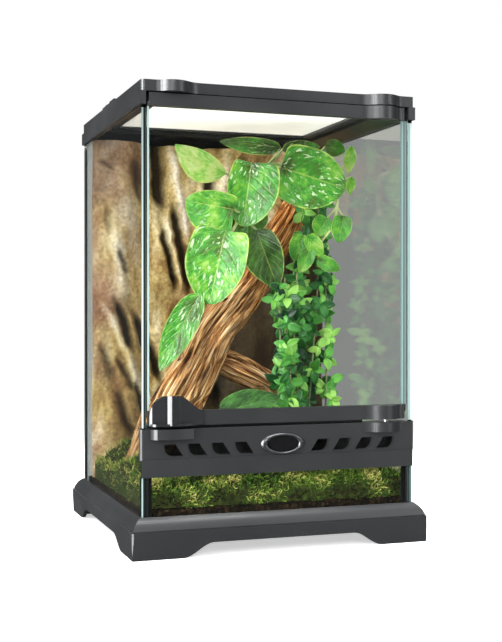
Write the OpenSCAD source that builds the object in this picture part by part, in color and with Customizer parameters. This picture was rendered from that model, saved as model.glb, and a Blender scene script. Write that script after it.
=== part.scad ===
// Small front-opening glass terrarium, planted.
// X runs to the right, Y to the back and Z up; the table is z = 0.
// The origin is the middle of the footprint. All sizes are in mm.

/* [Cabinet] */
// Outside width of the base frame, the widest part.
base_width = 203.6; // [200:1:260]
// Outside depth of the base frame, front to back.
base_depth = 202; // [200:1:260]
// Height of the rim of the top frame over the table.
rim_top = 299; // [290:1:380]
// Thickness of every glass pane.
glass = 3; // [2.5:0.25:3.5]

/* [Base frame] */
// Height of the base frame at the glass.
base_height = 25.7; // [24:0.1:30]
// Height of the flat outer face of the base frame.
fascia_height = 17.2; // [16:0.1:18.5]
// Clear height of the arches between the feet.
arch_height = 9; // [5:0.5:9]
// Length of each foot from the corner of the base frame.
foot_length = 33; // [24:1:45]
// Width of the S curve between a foot and its arch.
foot_curve = 21; // [12:1:28]

/* [Front ventilation bar] */
// Height of the lower edge of the bar.
vent_bottom = 50.5; // [46:0.5:54]
// Height of the bar.
vent_height = 30.2; // [29:0.1:33]
// Fin-shaped slots on each side of the badge.
slot_count = 4; // [2:1:4]
// Distance from one slot to the next.
slot_pitch = 15.7; // [13:0.1:16.5]
// Width of a slot at its top.
slot_width = 7.4; // [5:0.1:9]
// Half width of the oval badge ring.
badge_reach = 15; // [12:0.5:17]

/* [Door] */
// Height of the rail under the door glass.
bottom_rail = 9.4; // [9:0.1:13]
// Height of the rail over the door glass.
top_rail = 8.2; // [8:0.1:11]
// How far the pull handle stands above the bottom rail.
handle_rise = 9.6; // [7:0.1:14]
// Diameter of the two hinge pins.
pin_diameter = 3; // [2.5:0.1:3.6]
// Room between a hinge pin and its bore in the frames.
pin_clearance = 0.08; // [0.04:0.01:0.1]

/* [Top frame and screen lid] */
// Height of the lower tier of the top frame.
lower_tier = 8.4; // [8.2:0.1:10]
// Height of the upper tier of the top frame.
upper_tier = 7; // [6.6:0.1:9]
// Width of the bars of the screen lid.
lid_bar = 13; // [11:0.5:18]
// Room between the screen lid and the rim round it.
lid_clearance = 0.4; // [0.3:0.05:0.8]
// Openings of the screen across and along.
mesh_cells = 13; // [8:1:16]
// Travel of the two lid locks.
lock_travel = 4.5; // [3:0.1:5]
// Travel of the two inlet covers.
cover_travel = 24; // [14:1:26]

/* [Planting] */
// Depth of the soil on the floor glass.
soil_depth = 14; // [8:1:18]
// Radius of the driftwood branch at its foot.
branch_radius = 16; // [11:0.5:17]
// Length of the largest vine leaf.
leaf_length = 50; // [36:1:54]
// Thickness of a leaf.
leaf_thickness = 0.8; // [0.6:0.1:1.2]

/* [Hidden] */
$fn = 64;
eps = 0.01;

// Half sizes of the base frame and of the glass box.
half_w = base_width / 2;
half_d = base_depth / 2;
pane_x = half_w - 8.3;
pane_y = half_d - 7.5;
room_x = pane_x - glass;
room_y = pane_y - glass;
front_y = -pane_y + 0.5;
// Scale of the planting, so that it follows the cabinet.
sx = room_x / 90.5;
sy = room_y / 90.5;
sz = (rim_top - 80) / 219;

// Heights.
ledge_top = 14;
ledge_thick = 3;
floor_top = ledge_top + glass;
tier_line = rim_top - upper_tier;
skirt_bottom = tier_line - lower_tier;
pane_top = tier_line - 1.8;
deck_bottom = tier_line - 2.4;
vent_top = vent_bottom + vent_height;
lip_top = vent_bottom + 11;
rail_bottom = vent_top + 1.9;
rail_top = rail_bottom + bottom_rail;
top_rail_top = tier_line - 0.8;
top_rail_bottom = top_rail_top - top_rail;

// Fits: glass in its pockets, and the seats of small pieces.
pocket = 0.15;
seam = 0.3;

// Front faces of the parts that stand one over the other.
bar_front = front_y - 1.3;
lip_front = front_y - 1.8;
rail_front = front_y - 1.6;
rail_back = front_y + glass + 1.4;
tier_front = front_y - 0.2;
corner_front = front_y - 2.2;
ear_front = front_y - 7;
ear_radius = 12;
ear_x = room_x - 18;
ear_tall = 6.4;
stop_gap = 0.7;

// Hinge of the door, through the ears on the right.
hinge_x = room_x - 15.5;
hinge_y = front_y + glass / 2;
swing = 14.5;
door_left = -room_x + 0.6;
door_right = room_x - 1.5;
handle_left = -room_x + 1.5;
rail_end = room_x - 2.2;
glass_bottom = rail_bottom + 4.9;
glass_top = top_rail_top - 4.7;

// Screen lid and the well it lies in.
well_x = pane_x - 7.5;
lid_x = well_x - lid_clearance;
lid_front = -pane_y + 7.5 + lid_clearance;
lid_back = pane_y - 25.5;
lid_top = tier_line + 5.5;
mesh_z = tier_line + 1.6;
bead_z = mesh_z + 0.6;
rim_out = half_w - 7.6;
skirt_out = half_w - 6.8;
rim_back = half_d - 6.3;
lock_y = lid_back / 2 - 26;
skirt_back = half_d - 5.5;

// Smooth step from 0 to 1, as t runs from 0 to 1.
function ease(t) = (1 - cos(180 * t)) / 2;
// Points of an ellipse with half axes a and b.
function oval(a, b, n) = [for (i = [0:n - 1]) [a * cos(360 * i / n), b * sin(360 * i / n)]];

// Box from one corner to the opposite one.
module block(lo, hi) {
    translate(lo) cube([hi[0] - lo[0], hi[1] - lo[1], hi[2] - lo[2]]);
}

// Upright slab with rounded corners, centred on the origin.
module rounded_slab(hx, hy, z0, z1, r) {
    block([-hx + r, -hy, z0], [hx - r, hy, z1]);
    block([-hx, -hy + r, z0], [hx, hy - r, z1]);
    for (x = [-hx + r, hx - r]) for (y = [-hy + r, hy - r])
        translate([x, y, z0]) cylinder(r = r, h = z1 - z0);
}

// Flat bar whose ends are half round, along X.
module pill(x, y, z0, z1, length, width) {
    block([x - length / 2 + width / 2, y - width / 2, z0],
        [x + length / 2 - width / 2, y + width / 2, z1]);
    for (s = [-1, 1]) translate([x + s * (length - width) / 2, y, z0])
        cylinder(d = width, h = z1 - z0);
}

// Ear on the right: a round nose that flows into the faces beside it.
// mid is the face toward the middle, side the face toward the corner.
module ear(z0, z1, mid, side, back) {
    cy = ear_front + ear_radius;
    r2 = 14;
    dy2 = cy - mid + r2;
    dx2 = sqrt(pow(ear_radius + r2, 2) - dy2 * dy2);
    ty2 = mid - r2 + dy2 * r2 / (ear_radius + r2);
    r3 = 6;
    dy3 = cy - side + r3;
    dx3 = sqrt(pow(ear_radius + r3, 2) - dy3 * dy3);
    ty3 = side - r3 + dy3 * r3 / (ear_radius + r3);
    intersection() {
        translate([ear_x, cy, z0]) cylinder(r = ear_radius, h = z1 - z0, $fn = 96);
        block([ear_x - 20, ear_front - 1, z0], [ear_x + 20, back, z1]);
    }
    difference() {
        block([ear_x - dx2, ty2, z0], [ear_x, back, z1]);
        translate([ear_x - dx2, mid - r2, z0 - 1])
            cylinder(r = r2 - 0.15, h = z1 - z0 + 2, $fn = 96);
    }
    difference() {
        block([ear_x, ty3, z0], [ear_x + dx3, back, z1]);
        translate([ear_x + dx3, side - r3, z0 - 1])
            cylinder(r = r3 - 0.15, h = z1 - z0 + 2, $fn = 96);
    }
}

// Shelf under the handle: flat nose, round to the left, cut square on the right.
module shelf(x0, x1, z0, z1, back) {
    r = 6;
    bow = 46;
    intersection() {
        union() {
            translate([x0 + r, ear_front + r + 0.4, z0]) cylinder(r = r, h = z1 - z0);
            block([x0 + r, ear_front - 1, z0], [x1, back, z1]);
            block([x0, ear_front + r + 0.4, z0], [x1, back, z1]);
        }
        translate([x0 + r + 7, ear_front + bow, z0]) cylinder(r = bow, h = z1 - z0, $fn = 128);
        block([x0 - 1, ear_front - 1, z0], [x1 + 1, back, z1]);
    }
}

// ---------------------------------------------------------------- base frame

// Outline of the base frame across the middle, for half size h.
function base_side(h) = concat(
    [[h - 0.9, 0], [h, fascia_height], [h - 1.3, fascia_height + 0.1]],
    [for (i = [0:8]) [h - 1.3 - 5.9 * i / 8 + 0.9 * sin(180 * i / 8) * 0.7,
        fascia_height + 0.8 + (base_height - fascia_height - 0.8) * i / 8
        + 0.9 * sin(180 * i / 8) * 0.7]]);
function mirrored(p) = [for (i = [len(p) - 1:-1:0]) [-p[i][0], p[i][1]]];

// Outline of the arch, from foot to foot, for half size h.
function arch(h) = concat([[-(h - foot_length), -1]],
    [for (i = [0:12]) [-(h - foot_length) + foot_curve * i / 12, arch_height * ease(i / 12)]],
    [for (i = [12:-1:0]) [h - foot_length - foot_curve * i / 12, arch_height * ease(i / 12)]],
    [[h - foot_length, -1]]);

module base_frame() color([0.16, 0.17, 0.17]) {
    difference() {
        intersection() {
            translate([0, half_d, 0]) rotate([90, 0, 0]) linear_extrude(base_depth)
                polygon(concat(base_side(half_w), mirrored(base_side(half_w))));
            translate([-half_w, 0, 0]) rotate([90, 0, 90]) linear_extrude(base_width)
                polygon(concat(base_side(half_d), mirrored(base_side(half_d))));
            rounded_slab(half_w, half_d, 0, base_height, 2.5);
        }
        block([-half_w + 3.4, -half_d + 3.4, -1],
            [half_w - 3.4, half_d - 3.4, ledge_top - ledge_thick]);
        block([-room_x + 14, -room_y + 14, 0], [room_x - 14, room_y - 14, base_height + 1]);
        block([-pane_x - pocket, front_y - pocket, ledge_top],
            [pane_x + pocket, pane_y + pocket, base_height + 1]);
        translate([0, half_d + 1, 0]) rotate([90, 0, 0])
            linear_extrude(base_depth + 2) polygon(arch(half_w));
        translate([-half_w - 1, 0, 0]) rotate([90, 0, 90])
            linear_extrude(base_width + 2) polygon(arch(half_d));
    }
    // Inner return of each foot, with a round boss in its corner.
    for (mx = [0, 1]) for (my = [0, 1]) mirror([mx, 0, 0]) mirror([0, my, 0]) {
        difference() {
            union() {
                block([half_w - foot_length + 1, half_d - 21, 0],
                    [half_w - 3.4, half_d - 18.4, ledge_top - ledge_thick]);
                block([half_w - 21, half_d - foot_length + 1, 0],
                    [half_w - 18.4, half_d - 3.4, ledge_top - ledge_thick]);
                translate([half_w - 12, half_d - 12, 0])
                    cylinder(r = 5.5, h = ledge_top - ledge_thick);
            }
            translate([half_w - 12, half_d - 12, -1]) cylinder(r = 2.2, h = 8);
        }
    }
    // Ribs that carry the ledge of the floor glass.
    for (i = [-2:2]) for (s = [-1, 1]) {
        block([i * 22 - 0.8, s > 0 ? half_d - 20 : -half_d + 3.4, arch_height + 0.3],
            [i * 22 + 0.8, s > 0 ? half_d - 3.4 : -half_d + 20, ledge_top - ledge_thick]);
        block([s > 0 ? half_w - 20 : -half_w + 3.4, i * 22 - 0.8, arch_height + 0.3],
            [s > 0 ? half_w - 3.4 : -half_w + 20, i * 22 + 0.8, ledge_top - ledge_thick]);
    }
}

// --------------------------------------------------------------- glass panes

module pane_colour() color([0.75, 0.86, 0.84, 0.35]) children();

module floor_glass() pane_colour()
    block([-room_x + seam, front_y + glass + seam, ledge_top],
        [room_x - seam, room_y - seam, floor_top]);

module side_pane() block([-pane_x, front_y, ledge_top], [-room_x, pane_y, pane_top]);

module left_glass() pane_colour() side_pane();

module right_glass() pane_colour() mirror([1, 0, 0]) side_pane();

module back_glass() pane_colour()
    block([-room_x + seam, room_y, ledge_top], [room_x - seam, pane_y, pane_top]);

module front_lower_glass() pane_colour()
    block([-room_x + 1.5, front_y, ledge_top], [room_x - 1.5, front_y + glass, lip_top - 1.8]);

// Beads of sealant: hollow fillets up the corners and round the floor.
module glass_seams() color([0.05, 0.05, 0.06]) {
    for (m = [0, 1]) mirror([m, 0, 0]) {
        difference() {
            block([-room_x, room_y - 4, floor_top], [-room_x + 4, room_y, skirt_bottom - 4]);
            translate([-room_x + 4, room_y - 4, floor_top - 1])
                cylinder(r = 3.4, h = rim_top);
        }
        difference() {
            block([-room_x, front_y + glass, floor_top],
                [-room_x + 4, front_y + glass + 4, vent_bottom]);
            translate([-room_x + 4, front_y + glass + 4, floor_top - 1])
                cylinder(r = 3.4, h = rim_top);
        }
        block([-room_x, front_y + 0.3, floor_top],
            [-room_x + 1.5, front_y + glass, lip_top - 2]);
        difference() {
            block([-room_x, front_y + glass + 4, floor_top],
                [-room_x + 3, room_y - 4, floor_top + 3]);
            translate([-room_x + 3, pane_y, floor_top + 3]) rotate([90, 0, 0])
                cylinder(r = 2.6, h = base_depth);
        }
    }
}

// ------------------------------------------------------ front ventilation bar

slot_z = vent_bottom + 12.9;
slot_tall = 7.4;
slot_lean = 4.9;
badge_z = vent_bottom + 18.4;

// One slot: a fin that leans to the middle, its outer side a soft curve.
function slot(x, grow) = concat(
    [[x - slot_lean - grow, slot_z - grow], [x - grow, slot_z + slot_tall + grow]],
    [for (i = [0:8]) let (t = i / 8)
        [(x + slot_width + grow) * (1 - t * t)
            + (x - slot_lean + slot_width - 1.2 + grow) * t * t,
        slot_z + slot_tall + grow - (slot_tall + 2 * grow) * (2 * t - t * t)]]);

module vent_slots() {
    for (m = [0, 1]) mirror([m, 0, 0]) for (i = [0:slot_count - 1]) {
        x = badge_reach + 9.6 + i * slot_pitch;
        translate([0, bar_front + 3, 0]) rotate([90, 0, 0])
            linear_extrude(5) polygon(slot(x, 0));
        translate([0.6, bar_front + 0.5, -0.2]) rotate([90, 0, 0])
            linear_extrude(2) polygon(slot(x, 0.5));
    }
}

module vent_bar() color([0.17, 0.18, 0.18]) {
    back = front_y + 11;
    inner = room_x - seam;
    difference() {
        union() {
            // Front wall, and its wrap over the ends of the side panes.
            block([-inner, bar_front, lip_top - 1], [inner, bar_front + 2, vent_top]);
            for (m = [0, 1]) mirror([m, 0, 0]) {
                block([room_x - 3, bar_front, lip_top - 0.2], [pane_x - 0.8, front_y, vent_top]);
                translate([pane_x - 0.8, bar_front + 2.1, lip_top - 0.2])
                    cylinder(r = 2.1, h = vent_top - lip_top + 0.2);
            }
            // Top, rear wall and the deck over the lower pane.
            block([-inner, bar_front, vent_top - 2], [inner, back, vent_top]);
            block([-inner, back - 2, lip_top - 1.5], [inner, back, vent_top]);
            block([-inner, front_y, lip_top - 1.5], [inner, back, lip_top + 0.5]);
            // Lip in front of the lower pane and lip behind it.
            block([-pane_x + 0.1, lip_front, vent_bottom], [pane_x - 0.1, front_y, lip_top]);
            block([-inner + 4.2, front_y + glass + pocket, vent_bottom + 2],
                [inner - 4.2, front_y + glass + 1.8, lip_top]);
            // Ears: hinge ear on the right, shelf under the handle on the left.
            ear(vent_top - ear_tall, vent_top, bar_front, bar_front, bar_front + 1.5);
            shelf(-room_x + 2.4, -room_x + 29.6, vent_top - ear_tall, vent_top, bar_front + 1.5);
            translate([hinge_x, hinge_y, vent_top - ear_tall]) cylinder(r = 4, h = ear_tall);
            // Upstand that the closed door rests against.
            block([-inner, rail_back + stop_gap, vent_top - 1],
                [hinge_x - swing - 1, rail_back + stop_gap + 1.6, vent_top + 3.4]);
        }
        // Room for the ends of the side panes inside the wrap.
        for (m = [0, 1]) mirror([m, 0, 0])
            block([room_x - seam, front_y, lip_top - 2], [pane_x + pocket, front_y + 9, vent_top + 1]);
        vent_slots();
        // Windows of the rear wall.
        for (i = [-4:3]) block([i * 20.5 + 2, back - 3, lip_top + 2.5],
            [i * 20.5 + 18.5, back + 1, vent_top - 4]);
        // Bore of the lower hinge pin.
        translate([hinge_x, hinge_y, vent_top - ear_tall + 1.3])
            cylinder(d = pin_diameter + 2 * pin_clearance, h = 8);
        // Seat of the badge.
        translate([0, bar_front + 0.6, badge_z]) rotate([90, 0, 0]) linear_extrude(2)
            polygon(oval(badge_reach + 0.1, 7.1, 60));
    }
}

// Fine screen in the air space, laid against the rear wall.
module vent_screen() color([0.3, 0.31, 0.32]) {
    y = front_y + 11 - 2.6;
    x0 = -room_x + 2;
    x1 = room_x - 2;
    z0 = lip_top + 0.5;
    z1 = vent_top - 2;
    difference() {
        block([x0, y, z0], [x1, y + 0.6, z1]);
        for (i = [0:35]) for (j = [0:2])
            block([x0 + 2 + i * (x1 - x0 - 3) / 36, y - 1, z0 + 2 + j * (z1 - z0 - 3) / 3],
                [x0 + 1 + (i + 1) * (x1 - x0 - 3) / 36, y + 2,
                z0 + 1 + (j + 1) * (z1 - z0 - 3) / 3]);
    }
}

// Oval ring round a plain plate; the plate carries no mark.
module badge_ring() color([0.1, 0.1, 0.11]) {
    translate([0, bar_front + 0.6, badge_z]) rotate([90, 0, 0]) {
        difference() {
            union() {
                linear_extrude(1.4) polygon(oval(badge_reach, 7, 60));
                linear_extrude(2) polygon(oval(badge_reach - 0.9, 6.5, 60));
                linear_extrude(2.5) polygon(oval(badge_reach - 2.2, 6.1, 60));
            }
            translate([0, 0, 0.6]) linear_extrude(4) polygon(oval(badge_reach - 4.6, 5.4, 60));
        }
    }
}

module badge_plate() color([0.35, 0.36, 0.37]) {
    translate([0, bar_front, badge_z]) rotate([90, 0, 0]) {
        linear_extrude(1) polygon(oval(badge_reach - 4.7, 5.3, 60));
        linear_extrude(1.4) polygon(oval(badge_reach - 5.6, 4.6, 60));
    }
}

// ------------------------------------------------------------------ top frame

// Profile of one side of the skirt, r outward from the middle, for half size h.
function skirt(h) = [[h - 12.5, tier_line], [h - 12.5, deck_bottom], [h - 5, skirt_bottom],
    [h + 1.5, skirt_bottom], [h + 1.5, tier_line]];

inlet_x = 52;
deck_y = lid_back + lid_clearance;
inlet_y = (deck_y + pane_y - 5) / 2;

module rim_half() {
    // Right half of the upper tier: side wall, corner, ear and front bar.
    block([well_x, front_y + 7, tier_line], [rim_out, rim_back - 3, rim_top]);
    translate([rim_out - 3, rim_back - 3, tier_line]) cylinder(r = 3, h = upper_tier);
    block([well_x, rim_back - 10, tier_line], [rim_out - 3, rim_back, rim_top]);
    translate([rim_out - 2.5, corner_front + 2.5, tier_line]) cylinder(r = 2.5, h = upper_tier);
    block([well_x, corner_front + 2.5, tier_line], [rim_out, front_y + 8, rim_top]);
    block([ear_x, corner_front, tier_line],
        [rim_out - 2.5, lid_front - lid_clearance, rim_top]);
    block([0, tier_front, tier_line], [ear_x, lid_front - lid_clearance, rim_top]);
    ear(tier_line, rim_top, tier_front, corner_front, front_y + 5);
}

module top_frame() color([0.17, 0.18, 0.18]) {
    difference() {
        union() {
            // Skirt over the side panes and the back pane.
            for (m = [0, 1]) mirror([m, 0, 0]) {
                difference() {
                    translate([0, skirt_back, 0]) rotate([90, 0, 0])
                        linear_extrude(skirt_back - corner_front) polygon(skirt(pane_x));
                    block([0, corner_front - 1, 0], [room_x - 0.3, front_y + 9.5, tier_line]);
                }
            }
            translate([-skirt_out, 0, 0]) rotate([90, 0, 90])
                linear_extrude(2 * skirt_out) polygon(skirt(pane_y + 0.5));
            // Front ledge of the lid well.
            block([-well_x - 2, -pane_y + 5.6, deck_bottom], [well_x + 2, -pane_y + 14, tier_line]);
            // Deck behind the lid.
            block([-well_x - 1, deck_y, deck_bottom], [well_x + 1, room_y + 1, tier_line + 4]);
            block([-well_x - 1, deck_y - 6, deck_bottom], [well_x + 1, deck_y + 1, tier_line]);
            rim_half();
            mirror([1, 0, 0]) rim_half();
            block([-well_x, room_y - 2.4, tier_line], [well_x, rim_back, rim_top]);
            // Guides of the inlet covers.
            for (s = [-1, 1]) block([-well_x, inlet_y + s * 8.4 - 0.8, tier_line + 3.9],
                [well_x, inlet_y + s * 8.4 + 0.8, rim_top - 0.2]);
            for (s = [-1, 1]) block([-well_x, inlet_y + s * 7.9 - 1.2, rim_top - 0.9],
                [well_x, inlet_y + s * 7.9 + 1.2, rim_top - 0.2]);
            // Stop between the two covers.
            block([-0.8, inlet_y - 8, tier_line + 3.9], [0.8, inlet_y + 8, rim_top - 0.2]);
        }
        // Pockets of the panes.
        for (m = [0, 1]) mirror([m, 0, 0])
            block([room_x - pocket, front_y - 0.1, skirt_bottom - 1],
                [pane_x + pocket, pane_y + pocket, pane_top]);
        block([-pane_x, room_y - pocket, skirt_bottom - 1],
            [pane_x, pane_y + pocket, pane_top]);
        // Room for the top rail, which turns about the hinge.
        translate([hinge_x, hinge_y, skirt_bottom - 1])
            cylinder(r = swing, h = tier_line - skirt_bottom + 0.9);
        block([door_left - 1.2, corner_front - 1, skirt_bottom - 1],
            [room_x - 0.7, front_y + 5.6, tier_line - 0.1]);
        // Bore of the upper hinge pin.
        translate([hinge_x, hinge_y, tier_line - 1])
            cylinder(d = pin_diameter + 2 * pin_clearance, h = 6.6);
        // Cable inlets through the deck.
        for (s = [-1, 1]) pill(s * inlet_x * sx, inlet_y, deck_bottom - 1, rim_top, 24, 11);
        // Tracks of the lid locks.
        for (m = [0, 1]) mirror([m, 0, 0]) {
            block([-rim_out + 0.8, lock_y - 2.2, rim_top - 2.2],
                [-rim_out + 2.8 + lock_travel, lock_y + 2.2, rim_top + 1]);
            block([-rim_out + 0.8, lock_y - 4.2, rim_top - 3.6],
                [-rim_out + 2.8 + lock_travel, lock_y + 4.2, rim_top - 2]);
        }
    }
}

// ----------------------------------------------------------------- screen lid

module screen_frame() color([0.17, 0.18, 0.18]) {
    difference() {
        union() {
            block([-lid_x, lid_front, tier_line], [lid_x, lid_back, lid_top - 0.8]);
            block([-lid_x + 0.8, lid_front + 0.8, tier_line],
                [lid_x - 0.8, lid_back - 0.8, lid_top]);
        }
        block([-lid_x + lid_bar, lid_front + lid_bar, tier_line - 1],
            [lid_x - lid_bar, lid_back - lid_bar, lid_top + 1]);
        block([-lid_x + lid_bar - 4, lid_front + lid_bar - 4, mesh_z],
            [lid_x - lid_bar + 4, lid_back - lid_bar + 4, lid_top + 1]);
        // Hollows that lighten the bars, and finger dips front and back.
        for (s = [-1, 1]) block([s * (lid_x - 4.6) - 2.2, lid_front + 12, lid_top - 1.2],
            [s * (lid_x - 4.6) + 2.2, lid_back - 12, lid_top + 1]);
        for (y = [lid_front, lid_back]) translate([0, y, lid_top + 1.5])
            rotate([0, 90, 0]) translate([0, 0, -16]) cylinder(r = 4, h = 32);
    }
}

// Woven screen: square openings in a flat sheet.
module screen_mesh() color([0.7, 0.68, 0.62]) {
    hx = lid_x - lid_bar + 3.8;
    y0 = lid_front + lid_bar - 3.8;
    y1 = lid_back - lid_bar + 3.8;
    cx = (2 * hx - 8) / mesh_cells;
    rows = floor((y1 - y0 - 8) / cx);
    cy = (y1 - y0 - 8) / rows;
    difference() {
        block([-hx, y0, mesh_z], [hx, y1, mesh_z + 0.6]);
        for (i = [0:mesh_cells - 1]) for (j = [0:rows - 1])
            block([-hx + 4 + i * cx + 0.5, y0 + 4 + j * cy + 0.5, mesh_z - 1],
                [-hx + 4 + (i + 1) * cx - 0.5, y0 + 4 + (j + 1) * cy - 0.5, mesh_z + 2]);
    }
}

// Bead that holds the screen down in the lid.
module screen_bead() color([0.08, 0.08, 0.08]) {
    hx = lid_x - lid_bar + 3.7;
    y0 = lid_front + lid_bar - 3.7;
    y1 = lid_back - lid_bar + 3.7;
    difference() {
        block([-hx, y0, bead_z], [hx, y1, bead_z + 1.6]);
        block([-hx + 2.6, y0 + 2.6, bead_z - 1], [hx - 2.6, y1 - 2.6, bead_z + 3]);
    }
}

// Lid lock: a slide on the rim with two thumb bumps and a keel in its track.
module lid_lock() {
    x0 = -rim_out + 0.7;
    x1 = -well_x - 0.4;
    translate([0, lock_y, 0]) {
        block([x0, -21, rim_top + 0.05], [x1, 17, rim_top + 1.5]);
        for (i = [0:5]) block([x0 + 0.8, -17 + i * 2.6, rim_top + 1.4],
            [x1 - 1, -15.6 + i * 2.6, rim_top + 3]);
        block([x0 + 1.6, -17, rim_top + 1.4], [x1 - 1.8, -2.6, rim_top + 2.2]);
        translate([(x0 + x1) / 2, 10.5, rim_top + 1.4]) cylinder(r = 2.9, h = 1.1);
        translate([(x0 + x1) / 2, 10.5, rim_top + 1.4]) cylinder(r = 2.1, h = 1.9);
        block([x0 + 0.3, -2, rim_top - 2.4], [x0 + 1.9, 2, rim_top + 1]);
        block([x0 + 0.3, -4, rim_top - 3.4], [x0 + 1.9, 4, rim_top - 2.3]);
    }
}

module left_lock() color([0.15, 0.15, 0.16]) lid_lock();

module right_lock() color([0.15, 0.15, 0.16]) mirror([1, 0, 0]) lid_lock();

// Cover of a cable inlet, with three finger ribs.
module inlet_cover() {
    x = inlet_x * sx;
    z = tier_line + 4.05;
    block([x - 15, inlet_y - 7.4, z], [x + 15, inlet_y + 7.4, rim_top - 1.1]);
    for (i = [-1:1]) block([x + i * 3 - 0.7, inlet_y - 5, rim_top - 1.2],
        [x + i * 3 + 0.7, inlet_y + 5, rim_top + 0.2]);
}

module right_inlet_cover() color([0.15, 0.15, 0.16]) inlet_cover();

module left_inlet_cover() color([0.15, 0.15, 0.16]) mirror([1, 0, 0]) inlet_cover();

// ----------------------------------------------------------------------- door

module door_glass() pane_colour()
    block([door_left, front_y, glass_bottom], [door_right, front_y + glass, glass_top]);

// Rail with a rounded right end, and the ear round the hinge.
module rail(z0, z1) {
    block([handle_left, rail_front, z0], [rail_end - 2, rail_back, z1]);
    block([rail_end - 4, rail_front + 2, z0], [rail_end, rail_back, z1]);
    translate([rail_end - 2, rail_front + 2, z0]) cylinder(r = 2, h = z1 - z0);
    ear(z0, z1, rail_front, rail_front, rail_back);
}

module door_bottom_rail() color([0.17, 0.18, 0.18]) difference() {
    rail(rail_bottom, rail_top);
    block([door_left - 1, front_y, glass_bottom], [door_right + 9, front_y + glass, rail_top + 1]);
    translate([hinge_x, hinge_y, rail_bottom - 1]) cylinder(d = pin_diameter, h = 20);
    // Seat of the handle.
    block([door_left - 1, rail_front - 9, rail_bottom - 1],
        [handle_left + 36, rail_front, rail_top + 1]);
}

module door_top_rail() color([0.17, 0.18, 0.18]) difference() {
    rail(top_rail_bottom, top_rail_top);
    block([door_left - 1, front_y, top_rail_bottom - 1],
        [door_right + 9, front_y + glass, glass_top]);
    translate([hinge_x, hinge_y, glass_top]) cylinder(d = pin_diameter, h = 20);
}

// Pull handle on the bottom rail: a foot plate, a cap with two cheeks and an
// upright grip between them.
module door_handle() color([0.08, 0.08, 0.09]) {
    x0 = handle_left;
    crest = rail_top + handle_rise;
    deep = rail_front;
    foot = rail_bottom + 1.5;
    left_side = [for (i = [0:8]) let (a = 90 * i / 8)
        [x0 + 10.5 - 10.5 * cos(a), rail_top - 3 + (crest - rail_top + 3) * sin(a)]];
    right_side = [for (i = [0:8]) let (t = i / 8)
        [x0 + 18.5 + 17 * t, crest - (crest - rail_top) * pow(ease(t), 0.9)]];
    face = concat([[x0, rail_bottom + 0.5]], left_side, right_side,
        [[x0 + 35.5, rail_bottom + 0.5]]);
    // Foot plate and cap.
    intersection() {
        shelf(x0, x0 + 35.5, rail_bottom, foot, deep);
        block([x0 - 1, ear_front - 2, rail_bottom - 1], [x0 + 40, deep, foot + 1]);
    }
    intersection() {
        rotate([90, 0, 0]) linear_extrude(base_depth) polygon(face);
        translate([0, 0, rail_bottom]) linear_extrude(crest) polygon([
            [x0, deep], [x0, deep - 0.8], [x0 + 1.4, deep - 2], [x0 + 9.2, deep - 4.2],
            [x0 + 17.6, deep - 4.4], [x0 + 20, deep - 3.6], [x0 + 34.6, deep - 1.4],
            [x0 + 35.5, deep - 0.6], [x0 + 35.5, deep]]);
    }
    // Upright grip: a bowed front face on the left and a flat one on the right.
    intersection() {
        translate([x0, ear_front, rail_bottom + 0.5]) linear_extrude(crest) polygon([
            [9.4, 5], [9.7, 2.6], [10, 1.9], [11, 0.9], [12.1, 0], [13.1, -0.6], [13.7, -0.6],
            [17.6, 0.9], [18, 1.3], [18, 5]]);
        rotate([90, 0, 0]) linear_extrude(base_depth) polygon(face);
        block([x0, ear_front - 2, rail_bottom], [x0 + 40, deep, crest + 1]);
    }
}

// Two steel pins, fixed in the rails; they turn in the frames.
module hinge_pins() color([0.7, 0.7, 0.72]) {
    translate([hinge_x, hinge_y, vent_top - ear_tall + 1.6])
        cylinder(d = pin_diameter, h = glass_bottom - vent_top + ear_tall - 1.7);
    translate([hinge_x, hinge_y, glass_top + 0.1])
        cylinder(d = pin_diameter, h = tier_line + 5 - glass_top);
}

// ------------------------------------------------------------------- planting

// Foam rock on the back pane: a slab with leaning folds.
module fold(x, lean, radius, sink, top, low) {
    translate([x * sx, room_y + sink, low]) rotate([0, lean, 0])
        cylinder(r = radius, h = top - low, $fn = 96);
}

module rock_panel() color([0.5, 0.4, 0.27]) {
    z0 = floor_top + 0.5;
    z1 = skirt_bottom - 3;
    intersection() {
        block([-room_x + seam, 0, z0], [room_x - seam, room_y - seam, z1]);
        union() {
            block([-room_x, room_y - 9, z0], [room_x, room_y, z1]);
            fold(-74, 0, 36, 6, z1, z0);
            fold(-46, 4, 34, 17, z1 + 20, z0 - 20);
            fold(-62, 16, 30, 13, z1, z0 - 20);
            fold(10, -9, 40, 24, z1 + 20, z0 - 20);
            fold(30, 5, 36, 19, z1 + 20, z0 - 20);
            fold(86, 0, 38, 2, z1 - 30, z0);
            fold(72, -6, 36, 14, z1 + 20, z0 - 20);
        }
    }
}

soil_top = floor_top + soil_depth;

module soil() color([0.13, 0.09, 0.06])
    block([-room_x + seam, front_y + glass + seam, floor_top],
        [room_x - seam, room_y - 9.5, soil_top]);

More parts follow.
